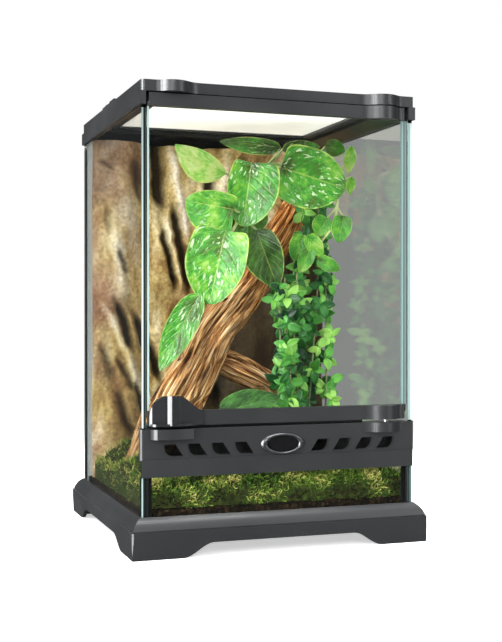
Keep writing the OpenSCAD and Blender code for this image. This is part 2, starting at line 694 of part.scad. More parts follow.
// Moss on the soil: a bed with low mounds.
module moss() color([0.3, 0.42, 0.1]) {
    bed = vent_bottom - 1.5;
    y0 = front_y + glass + seam;
    difference() {
        union() {
            block([-room_x + seam, y0, soil_top], [room_x - seam, room_y - 31, bed]);
            intersection() {
                block([-room_x + seam, y0 + 13, soil_top], [room_x - seam, room_y - 31, bed + 30]);
                union() {
                    translate([-70 * sx, -30 * sy, bed - 28]) sphere(r = 38);
                    translate([-60 * sx, 32 * sy, bed - 22]) sphere(r = 36);
                    translate([-20 * sx, -48 * sy, bed - 30]) sphere(r = 36);
                    translate([5 * sx, 20 * sy, bed - 40]) sphere(r = 50);
                    translate([34 * sx, -36 * sy, bed - 34]) sphere(r = 42);
                    translate([70 * sx, -10 * sy, bed - 32]) sphere(r = 40);
                }
            }
        }
        translate([-74 * sx, -14 * sy, soil_top - 8]) sphere(r = 6);
    }
}

// Unit vector along d, and the two across it.
function unit(d) = d / norm(d);
function along(path, i) = unit(path[min(i + 1, len(path) - 1)] - path[max(i - 1, 0)]);
function ring(path, radii, i, n, ridge) = let (t = along(path, i),
    u = unit(cross(t, [0.3, 1, 0.2])), v = cross(t, u))
    [for (j = [0:n - 1]) let (a = 360 * j / n,
        r = radii[i] * (1 + ridge * sin(3 * a + 17 * i) + ridge * cos(5 * a - 9 * i)))
        path[i] + r * cos(a) * u + r * sin(a) * v];

// Branch that follows a path, with the radius at each point and ridged sides.
module branch(path, radii, n, ridge) {
    m = len(path);
    polyhedron(
        points = [for (i = [0:m - 1]) each ring(path, radii, i, n, ridge)],
        faces = concat(
            [[for (j = [0:n - 1]) j]],
            [for (i = [0:m - 2]) for (j = [0:n - 1]) let (k = (j + 1) % n)
                [i * n + j, (i + 1) * n + j, i * n + k]],
            [for (i = [0:m - 2]) for (j = [0:n - 1]) let (k = (j + 1) % n)
                [i * n + k, (i + 1) * n + j, (i + 1) * n + k]],
            [[for (j = [n - 1:-1:0]) (m - 1) * n + j]]));
}

// Straight stalk from a to b.
module stalk(a, b, ra, rb) branch([a, (a + b) / 2, b], [ra, (ra + rb) / 2, rb], 6, 0);

// Point of the cabinet scaled with the planting.
function at(x, y, z) = [x * sx, y * sy, floor_top + (z - 17) * sz];

// Driftwood branch with the stub of a broken fork.
module driftwood() color([0.5, 0.36, 0.22]) {
    r = branch_radius;
    branch([at(-71, -16, 40), at(-57, -8, 66), at(-43, 0, 92), at(-27, 8, 117),
        at(-12, 15, 141), at(4, 22, 159), at(20, 28, 176), at(36, 33, 198),
        at(50, 38, 218), at(61, 42, 236)],
        [r * 1.05, r * 1.14, r * 1.1, r, r * 0.95, r * 0.92, r * 0.86, r * 0.78,
        r * 0.72, r * 0.56], 16, 0.06);
    branch([at(-22, 13, 126), at(-2, 12, 116), at(12, 10, 109), at(28, 7, 100),
        at(43, 4, 91)], [r * 0.4, r * 0.6, r * 0.62, r * 0.5, r * 0.34], 12, 0.08);
}

// Half a leaf's blade of length l, w wide at its broadest: i = 1 at the stalk to 11
// near the tip at +Y. The lobe is how far the shoulders reach back past the stalk.
function half_blade(l, w, lobe, i) = let (t = i / 12)
    [w * pow(sin(180 * pow(t, 0.8)), 0.8 - 2 * lobe),
    l * (t - (t < 0.385 ? lobe * sin(468 * t) : 0))];
function blade(l, right, left, lobe) = concat(
    [[0, 0]], [for (i = [1:11]) half_blade(l, right, lobe, i)],
    [[0, l]], [for (i = [11:-1:1]) half_blade(l, -left, lobe, i)]);

// Leaf at point p: turn about Z, tilt of the blade, roll of its tip from upright;
// its length and the width of each half as shares of the leaf length.
module leaf(p, turn, tilt, roll, l, right, left, lobe) {
    translate(p) rotate([90 + tilt, 0, turn]) rotate([0, 0, roll])
        linear_extrude(leaf_thickness)
        polygon(blade(l * leaf_length, right * leaf_length, left * leaf_length, lobe));
}

module vine_leaves() color([0.3, 0.6, 0.25]) {
    leaf(at(-10.6, -5, 253.6), -19, 6, 60, 0.83, 0.13, 0.31, 0);
    leaf(at(6.9, -12, 261.2), -24, -8, 172, 0.92, 0.28, 0.46, 0.12);
    leaf(at(-8.3, -18, 226.9), -14, 5, 80, 0.69, 0.21, 0.43, 0.14);
    leaf(at(-16.1, -22, 211), -22, -10, 168, 1.05, 0.46, 0.4, 0.13);
    leaf(at(28.1, -15, 258.5), -12, 6, -107, 1, 0.47, 0.41, 0.12);
    leaf(at(13.1, -5, 213.8), -26, -6, -160, 0.89, 0.32, 0.26, 0.06);
    leaf(at(-34.2, -20, 166.7), -30, -8, 152, 1.21, 0.22, 0.23, 0.04);
    leaf(at(34.8, 4, 275.8), -12, 4, 85, 0.9, 0.1, 0.15, 0.05);
    leaf(at(37.9, 8, 275), -10, 4, -84, 0.57, 0.1, 0.11, 0.05);
    leaf(at(70.8, 4, 278), -19, 0, -102, 0.3, 0.13, 0.13, 0.08);
    leaf(at(21.5, 7, 231), -19, 0, 138, 0.56, 0.23, 0.23, 0.06);
    leaf(at(84, -14, 276.5), -19, 0, 172, 0.42, 0.09, 0.09, 0);
    leaf(at(84, -14, 253.9), -19, 0, 172, 0.27, 0.07, 0.07, 0);
    leaf(at(67, -8, 223.7), -19, 0, 149, 0.3, 0.16, 0.15, 0.1);
    leaf(at(78, -13, 225.1), -19, 0, 169, 0.4, 0.15, 0.15, 0.1);
    leaf(at(49.1, -6, 210.5), -19, 0, 158, 0.39, 0.15, 0.16, 0.1);
    leaf(at(51.1, -9, 210.4), -19, 0, -145, 0.38, 0.12, 0.12, 0.08);
    leaf(at(59, -9, 193.3), -19, 0, -116, 0.37, 0.11, 0.1, 0.08);
    leaf(at(53.1, -10, 201.2), -19, 0, 156, 0.4, 0.11, 0.12, 0.05);
}

// Vine: runs along the top from the wood and down on the right, with a stalk to
// each leaf.
module vine_stems() color([0.45, 0.6, 0.25]) {
    c = at(24, 4, 262);
    d = at(2, -4, 252);
    e = at(0, -9, 226);
    f = at(-18, -12, 196);
    b = at(52, 16, 262);
    g = at(74, -8, 251);
    h = at(74, -10, 232);
    k = at(62, -9, 206);
    branch([at(59, 38, 236), at(58, 26, 252), b, at(38, 9, 264), c, at(12, 0, 259), d,
        at(-1, -6, 240), e, at(-8, -11, 211), f],
        [1.6, 1.6, 1.6, 1.6, 1.5, 1.5, 1.4, 1.4, 1.3, 1.2, 1.1], 8, 0);
    branch([b, at(64, 4, 259), g, h, at(70, -10, 217), k], [1.4, 1.2, 1.1, 1, 0.9, 0.8], 8, 0);
    stalk(d, at(-10.6, -5, 253.6), 1, 0.8);
    stalk(d, at(6.9, -12, 261.2), 1, 0.8);
    stalk(e, at(-8.3, -18, 226.9), 1, 0.8);
    stalk(f, at(-16.1, -22, 211), 1, 0.8);
    stalk(c, at(28.1, -15, 258.5), 1, 0.8);
    stalk(e, at(13.1, -5, 213.8), 1, 0.8);
    stalk(f, at(-34.2, -20, 166.7), 1, 0.8);
    stalk(c, at(34.8, 4, 275.8), 1, 0.8);
    stalk(c, at(37.9, 8, 275), 1, 0.8);
    stalk(b, at(70.8, 4, 278), 1, 0.8);
    stalk(e, at(21.5, 7, 231), 1, 0.8);
    stalk(g, at(84, -14, 276.5), 0.8, 0.6);
    stalk(g, at(84, -14, 253.9), 0.8, 0.6);
    stalk(h, at(67, -8, 223.7), 0.8, 0.6);
    stalk(h, at(78, -13, 225.1), 0.8, 0.6);
    stalk(k, at(49.1, -6, 210.5), 0.8, 0.6);
    stalk(k, at(51.1, -9, 210.4), 0.8, 0.6);
    stalk(k, at(59, -9, 193.3), 0.8, 0.6);
    stalk(k, at(53.1, -10, 201.2), 0.8, 0.6);
}

// Creeper: strands that root in the moss. The three left ones pass in front of the
// fork and end lower down.
strands = 6;
rows = 11;
function strand_point(s, t) = at(
    27 + 9 * s + 4 * sin(200 * t + 70 * s) - (s < 2 ? (2 - s) * 3 * (1 - t) : 0),
    (s < 3 ? -14 : 4) + (s < 3 ? 2.5 : 5) * cos(150 * t + 110 * s) + 2.2 * s,
    47 + (200 * (s < 2 ? 0.62 : 1) + 8 * sin(90 * s)) * t * (s == 2 ? 0.68 : 1));

module creeper_stems() color([0.6, 0.58, 0.4])
    for (s = [0:strands - 1])
        branch([for (i = [0:12]) strand_point(s, i / 12)],
            [for (i = [0:12]) 1.1 - 0.03 * i], 6, 0);

module creeper_leaves() color([0.2, 0.55, 0.2]) {
    spin = rands(0, 360, strands * (rows + 1), 7);
    tilt = rands(-28, 28, strands * (rows + 1), 11);
    for (s = [0:strands - 1]) for (i = [0:rows - 1]) {
        n = s * rows + i;
        translate(strand_point(s, 0.16 + 0.82 * i / rows))
            rotate([90 + tilt[n], 0, -19 + tilt[n + 3]]) rotate([0, 0, spin[n]])
            linear_extrude(leaf_thickness) polygon([[0, -1], [3.2, 2.6], [3.6, 6],
                [0, 12], [-3.6, 6], [-3.2, 2.6]]);
    }
}

// Broad leaf low in front, on a short stalk in the moss.
module ground_leaf() color([0.16, 0.38, 0.14]) {
    leaf(at(-24, -34, 84), -8, -34, -72, 0.95, 0.22, 0.22, 0.05);
    stalk(at(-27, -33, 46), at(-22, -35, 85.4), 1.4, 1);
}

base_frame();
floor_glass();
left_glass();
right_glass();
back_glass();
front_lower_glass();
glass_seams();
vent_bar();
vent_screen();
badge_ring();
badge_plate();
top_frame();
screen_frame();
screen_mesh();
screen_bead();
left_lock();
right_lock();
left_inlet_cover();
right_inlet_cover();
door_glass();
door_top_rail();
door_bottom_rail();
door_handle();
hinge_pins();
rock_panel();
soil();
moss();
driftwood();
vine_stems();
vine_leaves();
creeper_stems();
creeper_leaves();
ground_leaf();
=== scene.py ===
"""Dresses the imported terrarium: studio, plastics, glass, foam rock, moss, wood and plants."""
import math
import random

import bpy
from mathutils import Matrix, Vector, noise


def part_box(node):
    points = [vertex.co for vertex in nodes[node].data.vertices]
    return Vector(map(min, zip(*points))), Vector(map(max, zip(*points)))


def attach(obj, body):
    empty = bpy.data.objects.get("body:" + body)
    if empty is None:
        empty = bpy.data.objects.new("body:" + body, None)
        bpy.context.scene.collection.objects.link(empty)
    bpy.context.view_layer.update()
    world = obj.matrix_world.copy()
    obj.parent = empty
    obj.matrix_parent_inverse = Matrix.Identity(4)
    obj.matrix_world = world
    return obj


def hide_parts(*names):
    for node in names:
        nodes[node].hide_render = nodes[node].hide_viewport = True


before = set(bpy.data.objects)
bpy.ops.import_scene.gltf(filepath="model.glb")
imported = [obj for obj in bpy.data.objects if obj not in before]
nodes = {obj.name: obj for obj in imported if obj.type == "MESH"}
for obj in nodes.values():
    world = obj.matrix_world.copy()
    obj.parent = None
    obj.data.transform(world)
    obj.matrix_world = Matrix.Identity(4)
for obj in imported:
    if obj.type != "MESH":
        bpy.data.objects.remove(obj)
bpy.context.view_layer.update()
bpy.ops.object.select_all(action="DESELECT")
scene = bpy.context.scene

# ---------------------------------------------------------------- studio
# Pale floor, white surroundings and soft lights. What is seen straight is white;
# what glass and gloss see is a soft grey room with a bright ceiling.
bpy.ops.object.camera_add(location=(-0.265, -0.7988, 0.1521),
                          rotation=(math.radians(90 - 0.29), 0, math.radians(-19.05)))
camera = bpy.context.object
camera.data.sensor_width = 36
camera.data.lens = 65.06
scene.camera = camera
scene.view_settings.view_transform = "Standard"


def add_node(tree, kind, sockets=(), **settings):
    """A shader node; each socket, by name or place, takes a value or another node's output."""
    made = tree.nodes.new("ShaderNode" + kind)
    for name, value in settings.items():
        setattr(made, name, value)
    for name, value in sockets.items() if isinstance(sockets, dict) else enumerate(sockets):
        if isinstance(value, bpy.types.NodeSocket):
            tree.links.new(value, made.inputs[name])
        else:
            made.inputs[name].default_value = value
    return made


def ranged(tree, value, low, high, least=0.0, most=1.0, ease="LINEAR"):
    """A value carried from one range to another and held inside it."""
    return add_node(tree, "MapRange", {"Value": value, "From Min": low, "From Max": high,
                                       "To Min": least, "To Max": most}, interpolation_type=ease).outputs[0]


def scaled(tree, colour, amount):
    """A colour made lighter or darker."""
    return add_node(tree, "VectorMath", {0: colour, "Scale": amount}, operation="SCALE").outputs[0]


def place_on(tree):
    """Where a point lies on its piece, in metres."""
    return add_node(tree, "TexCoord").outputs["Object"]


def new_material(name, rough, shine=0.5):
    """A material with nodes: (material, its node tree, its Principled shader)."""
    mat = bpy.data.materials.new(name)
    mat.use_nodes = True
    bsdf = mat.node_tree.nodes["Principled BSDF"]
    bsdf.inputs["Roughness"].default_value = rough
    bsdf.inputs["Specular IOR Level"].default_value = shine
    return mat, mat.node_tree, bsdf


world = bpy.data.worlds.new("studio")
scene.world = world
world.use_nodes = True
world.cycles.sampling_method = "NONE"
room = world.node_tree
room.nodes.clear()
room_way = add_node(room, "TexCoord").outputs["Generated"]


def glow(direction, start, full, colour):
    """A soft patch of light in one direction of the room."""
    toward = add_node(room, "VectorMath", (room_way, direction), operation="DOT_PRODUCT").outputs["Value"]
    return scaled(room, colour, ranged(room, toward, start, full, ease="SMOOTHSTEP"))


dim = glow((0, 0, 1), -3, -2, (0.03, 0.032, 0.033))
ceiling = glow((0, 0, 1), 0.3, 0.85, (1.5, 1.5, 1.5))
far_right = glow((0.574, 0.819, 0), 0.74, 0.93, (0.3, 0.31, 0.3))
left_wall = glow((-1, 0, 0), 0.4, 0.9, (1.9, 1.92, 1.94))
room_light = dim
for patch in (ceiling, far_right, left_wall):
    room_light = add_node(room, "VectorMath", (room_light, patch), operation="ADD").outputs[0]
rays = add_node(room, "LightPath").outputs
mirrored = add_node(room, "Background", {"Color": room_light}).outputs[0]
ambient = add_node(room, "Background", {"Color": (1, 1, 1, 1), "Strength": 0.55}).outputs[0]
backdrop = add_node(room, "Background", {"Color": (1, 1, 1, 1)}).outputs[0]
lighting = add_node(room, "MixShader", (rays["Is Diffuse Ray"], mirrored, ambient)).outputs[0]
lighting = add_node(room, "MixShader", (rays["Is Camera Ray"], lighting, backdrop)).outputs[0]
add_node(room, "OutputWorld", {"Surface": lighting})

for name, place, aim, size, watts in (
        ("key", (-1.15, -0.55, 0.7), (0, 0, 0.16), (0.6, 1.0), 26),
        ("front", (-0.35, -1.45, 0.75), (0, 0, 0.16), (0.5, 0.5), 9),
        ("fill", (0.95, -1.1, 0.45), (0, 0, 0.15), (0.16, 0.9), 5),
        ("top", (0.0, -0.1, 1.2), (0, 0, 0.3), (0.8, 0.8), 22),
        ("softbox", (-1.14, -0.63, 0.16), (0, 0, 0.16), (0.8, 1.1), 60)):
    bpy.ops.object.light_add(type="AREA", location=place)
    lamp = bpy.context.object
    lamp.name = name
    lamp.data.shape = "RECTANGLE"
    lamp.data.size, lamp.data.size_y = size
    lamp.data.energy = watts
    lamp.rotation_euler = (Vector(aim) - Vector(place)).to_track_quat("-Z", "Y").to_euler()
    lamp.visible_camera = False
# The tall softbox on the left shows only as highlights in gloss, and not in the panes.
softbox = lamp
softbox.visible_diffuse = False
softbox.visible_transmission = False
no_mirror = bpy.data.collections.new("panes without the softbox")
for pane in ("left_glass", "right_glass", "back_glass", "front_lower_glass", "door_glass", "floor_glass"):
    no_mirror.objects.link(nodes[pane])
for member in no_mirror.collection_objects:
    member.light_linking.link_state = "EXCLUDE"
softbox.light_linking.receiver_collection = no_mirror

bpy.ops.mesh.primitive_plane_add(size=1.6, location=(0, 0, 0))
floor = bpy.context.object
floor.name = "floor"
floor.visible_glossy = False
floor.visible_transmission = False
floor_mat, floor_tree, floor_bsdf = new_material("floor", 0.8, 0.0)
floor_bsdf.inputs["Base Color"].default_value = (0.95, 0.95, 0.95, 1)
floor_bsdf.inputs["Emission Color"].default_value = (1, 1, 1, 1)
floor_bsdf.inputs["Emission Strength"].default_value = 0.55
from_middle = add_node(floor_tree, "VectorMath", (place_on(floor_tree),), operation="LENGTH").outputs["Value"]
floor_tree.links.new(ranged(floor_tree, from_middle, 0.75, 0.3, ease="SMOOTHSTEP"), floor_bsdf.inputs["Alpha"])
floor.data.materials.append(floor_mat)

# ---------------------------------------------------------------- plastics
# Injection-moulded black plastic with a fine spark texture, slightly worn bright
# on its sheen; the handle and badge are polished.


def clouds(tree, vector, scale, detail=2, rough=0.5, warp=0):
    """Soft noise from 0 to 1."""
    return add_node(tree, "TexNoise", {"Vector": vector, "Scale": scale, "Detail": detail,
                                       "Roughness": rough, "Distortion": warp}).outputs["Fac"]


def bumped(tree, bsdf, height, strength, distance):
    """Small relief over the whole surface."""
    relief = add_node(tree, "Bump", {"Height": height, "Strength": strength, "Distance": distance})
    tree.links.new(relief.outputs["Normal"], bsdf.inputs["Normal"])


grain = bpy.data.node_groups.new("fine grain", "ShaderNodeTree")
for label, default in (("Scale", 900.0), ("Low", 0.3), ("High", 0.45)):
    grain.interface.new_socket(label, in_out="INPUT", socket_type="NodeSocketFloat").default_value = default
for label in ("Roughness", "Height"):
    grain.interface.new_socket(label, in_out="OUTPUT", socket_type="NodeSocketFloat")
grain_in = grain.nodes.new("NodeGroupInput").outputs
grain_out = grain.nodes.new("NodeGroupOutput").inputs
worn = ranged(grain, clouds(grain, place_on(grain), 22, 4), 0.3, 0.7, grain_in["Low"], grain_in["High"])
grain.links.new(worn, grain_out["Roughness"])
grain.links.new(clouds(grain, place_on(grain), grain_in["Scale"]), grain_out["Height"])


def moulded(name, colour, low, high, scale, bump):
    """Moulded plastic or rubber with the fine grain."""
    mat, tree, bsdf = new_material(name, 0.5)
    bsdf.inputs["Base Color"].default_value = (*colour, 1)
    group = add_node(tree, "Group", {"Scale": scale, "Low": low, "High": high}, node_tree=grain)
    tree.links.new(group.outputs["Roughness"], bsdf.inputs["Roughness"])
    bumped(tree, bsdf, group.outputs["Height"], bump, 0.0001)
    return mat, bsdf


def dress(node, mat):
    """Gives a CAD node its material."""
    piece = nodes[node]
    piece.data.materials.clear()
    piece.data.materials.append(mat)


frame_plastic, _ = moulded("frame plastic", (0.016, 0.0175, 0.0185), 0.3, 0.42, 1500, 0.35)
gloss_black, _ = moulded("gloss black", (0.016, 0.017, 0.0185), 0.1, 0.17, 600, 0.06)
plain_plate, _ = moulded("plain plate", (0.005, 0.005, 0.0055), 0.12, 0.2, 900, 0.1)
rubber_black, _ = moulded("rubber", (0.008, 0.008, 0.009), 0.5, 0.65, 1200, 0.3)
sealant, _ = moulded("sealant", (0.006, 0.0065, 0.007), 0.3, 0.45, 400, 0.3)
for node in ("base_frame", "vent_bar", "top_frame", "screen_frame", "left_lock", "right_lock",
             "left_inlet_cover", "right_inlet_cover", "door_top_rail", "door_bottom_rail"):
    dress(node, frame_plastic)
dress("door_handle", gloss_black)
dress("badge_ring", gloss_black)
dress("badge_plate", plain_plate)
dress("screen_bead", rubber_black)
dress("glass_seams", sealant)
# The mould's small edge radii, in mm, which catch the light.
RADII = (("base_frame", 0.5), ("vent_bar", 0.35), ("top_frame", 0.4), ("screen_frame", 0.4), ("badge_plate", 0.3),
         ("door_top_rail", 0.3), ("door_bottom_rail", 0.4), ("door_handle", 0.25))
for node, radius in RADII:
    soften = nodes[node].modifiers.new("soften", "BEVEL")
    soften.width = radius / 1000
    soften.segments = 2
    soften.limit_method = "ANGLE"
    soften.angle_limit = math.radians(38)
    soften.harden_normals = False

# ---------------------------------------------------------------- badge
# Glossy moulded ring round the blank plate: a rounded outer slope, a crown and a
# steep inner wall.


def sheet(name, across, along):
    """A flat grid, one metre square, to be shaped point by point."""
    bpy.ops.mesh.primitive_grid_add(x_subdivisions=across, y_subdivisions=along, size=1)
    made = bpy.context.object
    made.name = name
    return made


def worked(piece, kind, **settings):
    """Puts a modifier on the active piece and applies it."""
    made = piece.modifiers.new(kind.lower(), kind)
    for name, value in settings.items():
        setattr(made, name, value)
    bpy.ops.object.modifier_apply(modifier=made.name)


def mend(weld=False, caps=False, turn_out=True):
    """Welds the seams of the active mesh, closes its open ends and turns its faces out."""
    bpy.ops.object.mode_set(mode="EDIT")
    bpy.ops.mesh.select_all(action="SELECT")
    if weld:
        bpy.ops.mesh.remove_doubles(threshold=0.00001)
    if caps:
        bpy.ops.mesh.fill_holes(sides=0)
    if turn_out:
        bpy.ops.mesh.normals_make_consistent(inside=False)
    bpy.ops.object.mode_set(mode="OBJECT")


def smooth(degrees):
    """Smooth shading, with edges sharper than an angle left crisp."""
    bpy.ops.object.shade_smooth_by_angle(angle=math.radians(degrees))


#        reach  half height  how far forward, all in mm
RING = ((15.0, 7.0, 93.75), (14.9, 6.95, 94.7), (14.5, 6.7, 95.25), (13.9, 6.5, 95.7), (13.2, 6.2, 96.05),
        (12.5, 6.0, 96.18), (11.8, 5.8, 96.05), (11.3, 5.6, 95.6), (10.9, 5.45, 94.9), (10.7, 5.4, 94.25))
BADGE_HEIGHT = 68.9
ring = sheet("badge_surround", 96, 9)
for v in ring.data.vertices:
    turn = (v.co.x + 0.5) * 2 * math.pi
    reach, tall, ahead = RING[min(9, round((v.co.y + 0.5) * 9))]
    v.co = (reach * math.cos(turn) / 1000, -ahead / 1000, (BADGE_HEIGHT + tall * math.sin(turn)) / 1000)
mend(weld=True, turn_out=False)
worked(ring, "SOLIDIFY", thickness=0.0003, offset=1)
mend()
smooth(50)
ring_gloss, ring_bsdf = moulded("ring gloss", (0.02, 0.021, 0.023), 0.14, 0.22, 600, 0.05)
ring_bsdf.inputs["Specular IOR Level"].default_value = 0.8
ring.data.materials.append(ring_gloss)
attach(ring, "cabinet")
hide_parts("badge_ring")

# ---------------------------------------------------------------- steel
# Ground steel hinge pins, held in the door's rails, and the near-black wire of the
# fine screen that lies behind the slots of the vent bar, painted shade for the slots.
pin_steel, pin_bsdf = moulded("pin steel", (0.55, 0.55, 0.56), 0.25, 0.35, 2000, 0.2)
pin_bsdf.inputs["Metallic"].default_value = 1
# Painted shade: the screen's wire is near-black with little sheen, so the slots look black.
slot_shade_wire, wire_bsdf = moulded("dark wire", (0.006, 0.006, 0.006), 0.5, 0.6, 1500, 0.3)
wire_bsdf.inputs["Specular IOR Level"].default_value = 0.15
dress("hinge_pins", pin_steel)
dress("vent_screen", slot_shade_wire)

# ---------------------------------------------------------------- glass
# Clear float glass whose ground edges look teal end on. Shadow and diffuse rays pass
# straight through, so the planting is lit.


def number(tree, operation, *values):
    """What a sum on numbers or outputs comes to."""
    return add_node(tree, "Math", values, operation=operation).outputs[0]


def mixed(tree, amount, first, second, **settings):
    """Two colours mixed by an amount."""
    return add_node(tree, "Mix", {"Factor": amount, "A": first, "B": second},
                    data_type="RGBA", **settings).outputs["Result"]


def parts_of(tree, vector):
    """The X, Y and Z of a vector."""
    return add_node(tree, "SeparateXYZ", (vector,)).outputs


def glass_material(name, flat_axis):
    """Float glass whose edge faces, the ones off the pane's flat axis, are teal."""
    mat, tree, bsdf = new_material(name, 0.0)
    bsdf.inputs["Transmission Weight"].default_value = 1
    bsdf.inputs["IOR"].default_value = 1.5
    facing = parts_of(tree, add_node(tree, "NewGeometry").outputs["True Normal"])[flat_axis]
    edge = number(tree, "LESS_THAN", number(tree, "ABSOLUTE", facing), 0.5)
    tree.links.new(mixed(tree, edge, (0.985, 0.995, 0.99, 1), (0.16, 0.5, 0.5, 1)), bsdf.inputs["Base Color"])
    rays = add_node(tree, "LightPath").outputs
    straight = number(tree, "MAXIMUM", rays["Is Shadow Ray"], rays["Is Diffuse Ray"])
    clear = add_node(tree, "BsdfTransparent", {"Color": (0.93, 0.96, 0.95, 1)}).outputs[0]
    seen = add_node(tree, "MixShader", (straight, bsdf.outputs[0], clear)).outputs[0]
    tree.links.new(seen, tree.nodes["Material Output"].inputs["Surface"])
    return mat


glass_x = glass_material("side glass", "X")
glass_y = glass_material("front glass", "Y")
glass_z = glass_material("floor glass", "Z")
for node, mat in (("left_glass", glass_x), ("right_glass", glass_x), ("back_glass", glass_y),
                  ("door_glass", glass_y), ("front_lower_glass", glass_y), ("floor_glass", glass_z)):
    dress(node, mat)

# ---------------------------------------------------------------- ground edges
# The ground and polished ends of the panes and of the door. Light led inside the
# glass shows on them as bright, dark and teal bands, painted into their colour.


def toned(tree, value, stops):
    """The colour a value stands for on a scale of (place, colour) stops, in rising order."""
    scale = add_node(tree, "ValToRGB", {"Fac": value})
    marks = scale.color_ramp.elements
    for k, (place, colour) in enumerate(stops):
        mark = marks[k] if k < 2 else marks.new(place)
        mark.position = place
        mark.color = (*colour, 1)
    return scale.outputs["Color"]


def on_map(tree):
    """Where a point lies on its piece's own map."""
    return add_node(tree, "UVMap", uv_map="UVMap").outputs["UV"]


#         name        body      from   to     foot  head   light at the head, bands across
GROUND = (("left", "cabinet", -93.5, -90.5, 81.4, 281.6, 0.45,
           ((0.0, 0.25), (0.2, 0.62), (0.36, 0.3), (0.5, 0.02), (0.66, 0.01), (0.85, 0.05), (1.0, 0.12))),
          ("left_low", "cabinet", -93.5, -90.5, 14.5, 50.2, 1,
           ((0.0, 0.33), (0.25, 0.33), (0.38, 0.01), (1.0, 0.008))),
          ("right", "cabinet", 90.5, 93.5, 81.4, 281.6, 1,
           ((0.0, 0.05), (0.12, 0.36), (0.25, 0.34), (0.4, 0.18), (0.6, 0.5), (1.0, 0.55))),
          ("right_low", "cabinet", 90.5, 93.5, 14.5, 50.2, 1,
           ((0.0, 0.008), (0.2, 0.02), (0.45, 0.06), (0.7, 0.1), (1.0, 0.2))),
          ("door_left", "door", -89.9, -88.6, 92.4, 282.6, 0.9,
           ((0.0, 0.28), (0.3, 0.38), (0.7, 0.45), (1.0, 0.33))),
          ("door_right", "door", 85.0, 89.9, 92.4, 282.6, 1,
           ((0.0, 0.13), (0.22, 0.23), (0.37, 0.31), (0.5, 0.08), (0.66, 0.16), (0.8, 0.23), (0.9, 0.06),
            (1.0, 0.04))))
EDGE_FRONT = -0.09302
for name, body, x0, x1, z0, z1, head, bands in GROUND:
    edge = sheet(f"ground_edge_{name}", 8, 2)
    for v in edge.data.vertices:
        s = v.co.x + 0.5
        dome = 0.00012 * (1 - abs(2 * s - 1) ** 6)
        v.co = ((x0 + s * (x1 - x0)) / 1000, EDGE_FRONT - dome, (z0 + (v.co.y + 0.5) * (z1 - z0)) / 1000)
    worked(edge, "SOLIDIFY", thickness=0.00004)
    smooth(60)
    edge_mat, edge_tree, edge_bsdf = new_material(f"ground edge {name}", 0.3, 0.12)
    spot = parts_of(edge_tree, on_map(edge_tree))
    # Painted light: bright, dark and teal bands across each strip, scaled towards the top by the light given for
    # its head.
    teal_bands = [(place, (light * (1 - 0.45 * (1 - light)), light * (1 - 0.04 * (1 - light)),
                           light * (1 - 0.1 * (1 - light)))) for place, light in bands]
    painted_edge_light = scaled(edge_tree, toned(edge_tree, spot["X"], teal_bands), ranged(edge_tree, spot["Y"], 0.4, 1, 1, head))
    edge_tree.links.new(painted_edge_light, edge_bsdf.inputs["Base Color"])
    edge.data.materials.append(edge_mat)
    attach(edge, body)

# ---------------------------------------------------------------- vent screen
# Fine wire cloth behind the slots of the vent bar. Its near-black colour is painted
# shade: with it and the unlit space behind it the slots look black.


def pick(*pieces):
    """Selects these pieces alone, the first one active."""
    bpy.ops.object.select_all(action="DESELECT")
    for piece in pieces:
        piece.select_set(True)
    bpy.context.view_layer.objects.active = pieces[0]


def joined(pieces, name):
    """The pieces made one mesh."""
    pick(*pieces)
    bpy.ops.object.join()
    made = bpy.context.object
    made.name = name
    return made


def wire_cloth(name, low, high, ways, sides, radius, pitch, margin):
    """Straight wires both ways over a box; `ways` has each way's axis and its level."""
    wires = []
    for (axis, level), (across, _) in (ways, ways[::-1]):
        span = high[across] - low[across] - margin
        count = int(span / pitch)
        bpy.ops.mesh.primitive_cylinder_add(
            vertices=sides, radius=radius, depth=high[axis] - low[axis] - 0.0004,
            rotation=((0, math.pi / 2, 0), (math.pi / 2, 0, 0), (0, 0, 0))[axis])
        wire = bpy.context.object
        bpy.ops.object.transform_apply(location=False, rotation=True, scale=False)
        step = [0, 0, 0]
        step[across] = span / count
        worked(wire, "ARRAY", count=count + 1, use_relative_offset=False, use_constant_offset=True,
               constant_offset_displace=step)
        place = [level] * 3
        place[axis] = (low[axis] + high[axis]) / 2
        place[across] = low[across] + margin / 2
        wire.data.transform(Matrix.Translation(place))
        wires.append(wire)
    return joined(wires, name)


low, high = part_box("vent_screen")
middle = (low[1] + high[1]) / 2
vent_cloth = wire_cloth("vent_cloth", low, high, ((0, middle + 0.0002), (2, middle - 0.0002)), sides=4,
                        radius=0.00035, pitch=0.00078, margin=0.0008)
vent_cloth.data.materials.append(slot_shade_wire)
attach(vent_cloth, "cabinet")
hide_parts("vent_screen")

# ---------------------------------------------------------------- screen
# The lid's screen: fine bright woven wire, held down in its frame by the rubber
# bead. It is made as straight wires both ways.
low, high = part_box("screen_mesh")
screen = wire_cloth("woven_screen", low, high, ((0, low[2] + 0.00018), (1, low[2] + 0.00038)), sides=5,
                    radius=0.00021, pitch=0.0014, margin=0.001)
screen_mat, screen_tree, screen_bsdf = new_material("bright wire", 0.55)
screen_bsdf.inputs["Metallic"].default_value = 0.1
wire_tone = mixed(screen_tree, clouds(screen_tree, place_on(screen_tree), 30), (0.96, 0.91, 0.81, 1),
                  (1.0, 0.98, 0.93, 1))
screen_tree.links.new(wire_tone, screen_bsdf.inputs["Base Color"])
screen.data.materials.append(screen_mat)
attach(screen, "lid")
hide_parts("screen_mesh")

# ---------------------------------------------------------------- foam rock
# One moulded panel of painted foam on the back pane. Leaning folds, ridges and
# clefts are cast in its face; its back lies flat on the glass. Shade is painted
# into the clefts, beside the wood and at the top left.
ROCK_BACK = 0.0902
ROCK_SIDE = 0.0901
ROCK_TOP = 0.2834
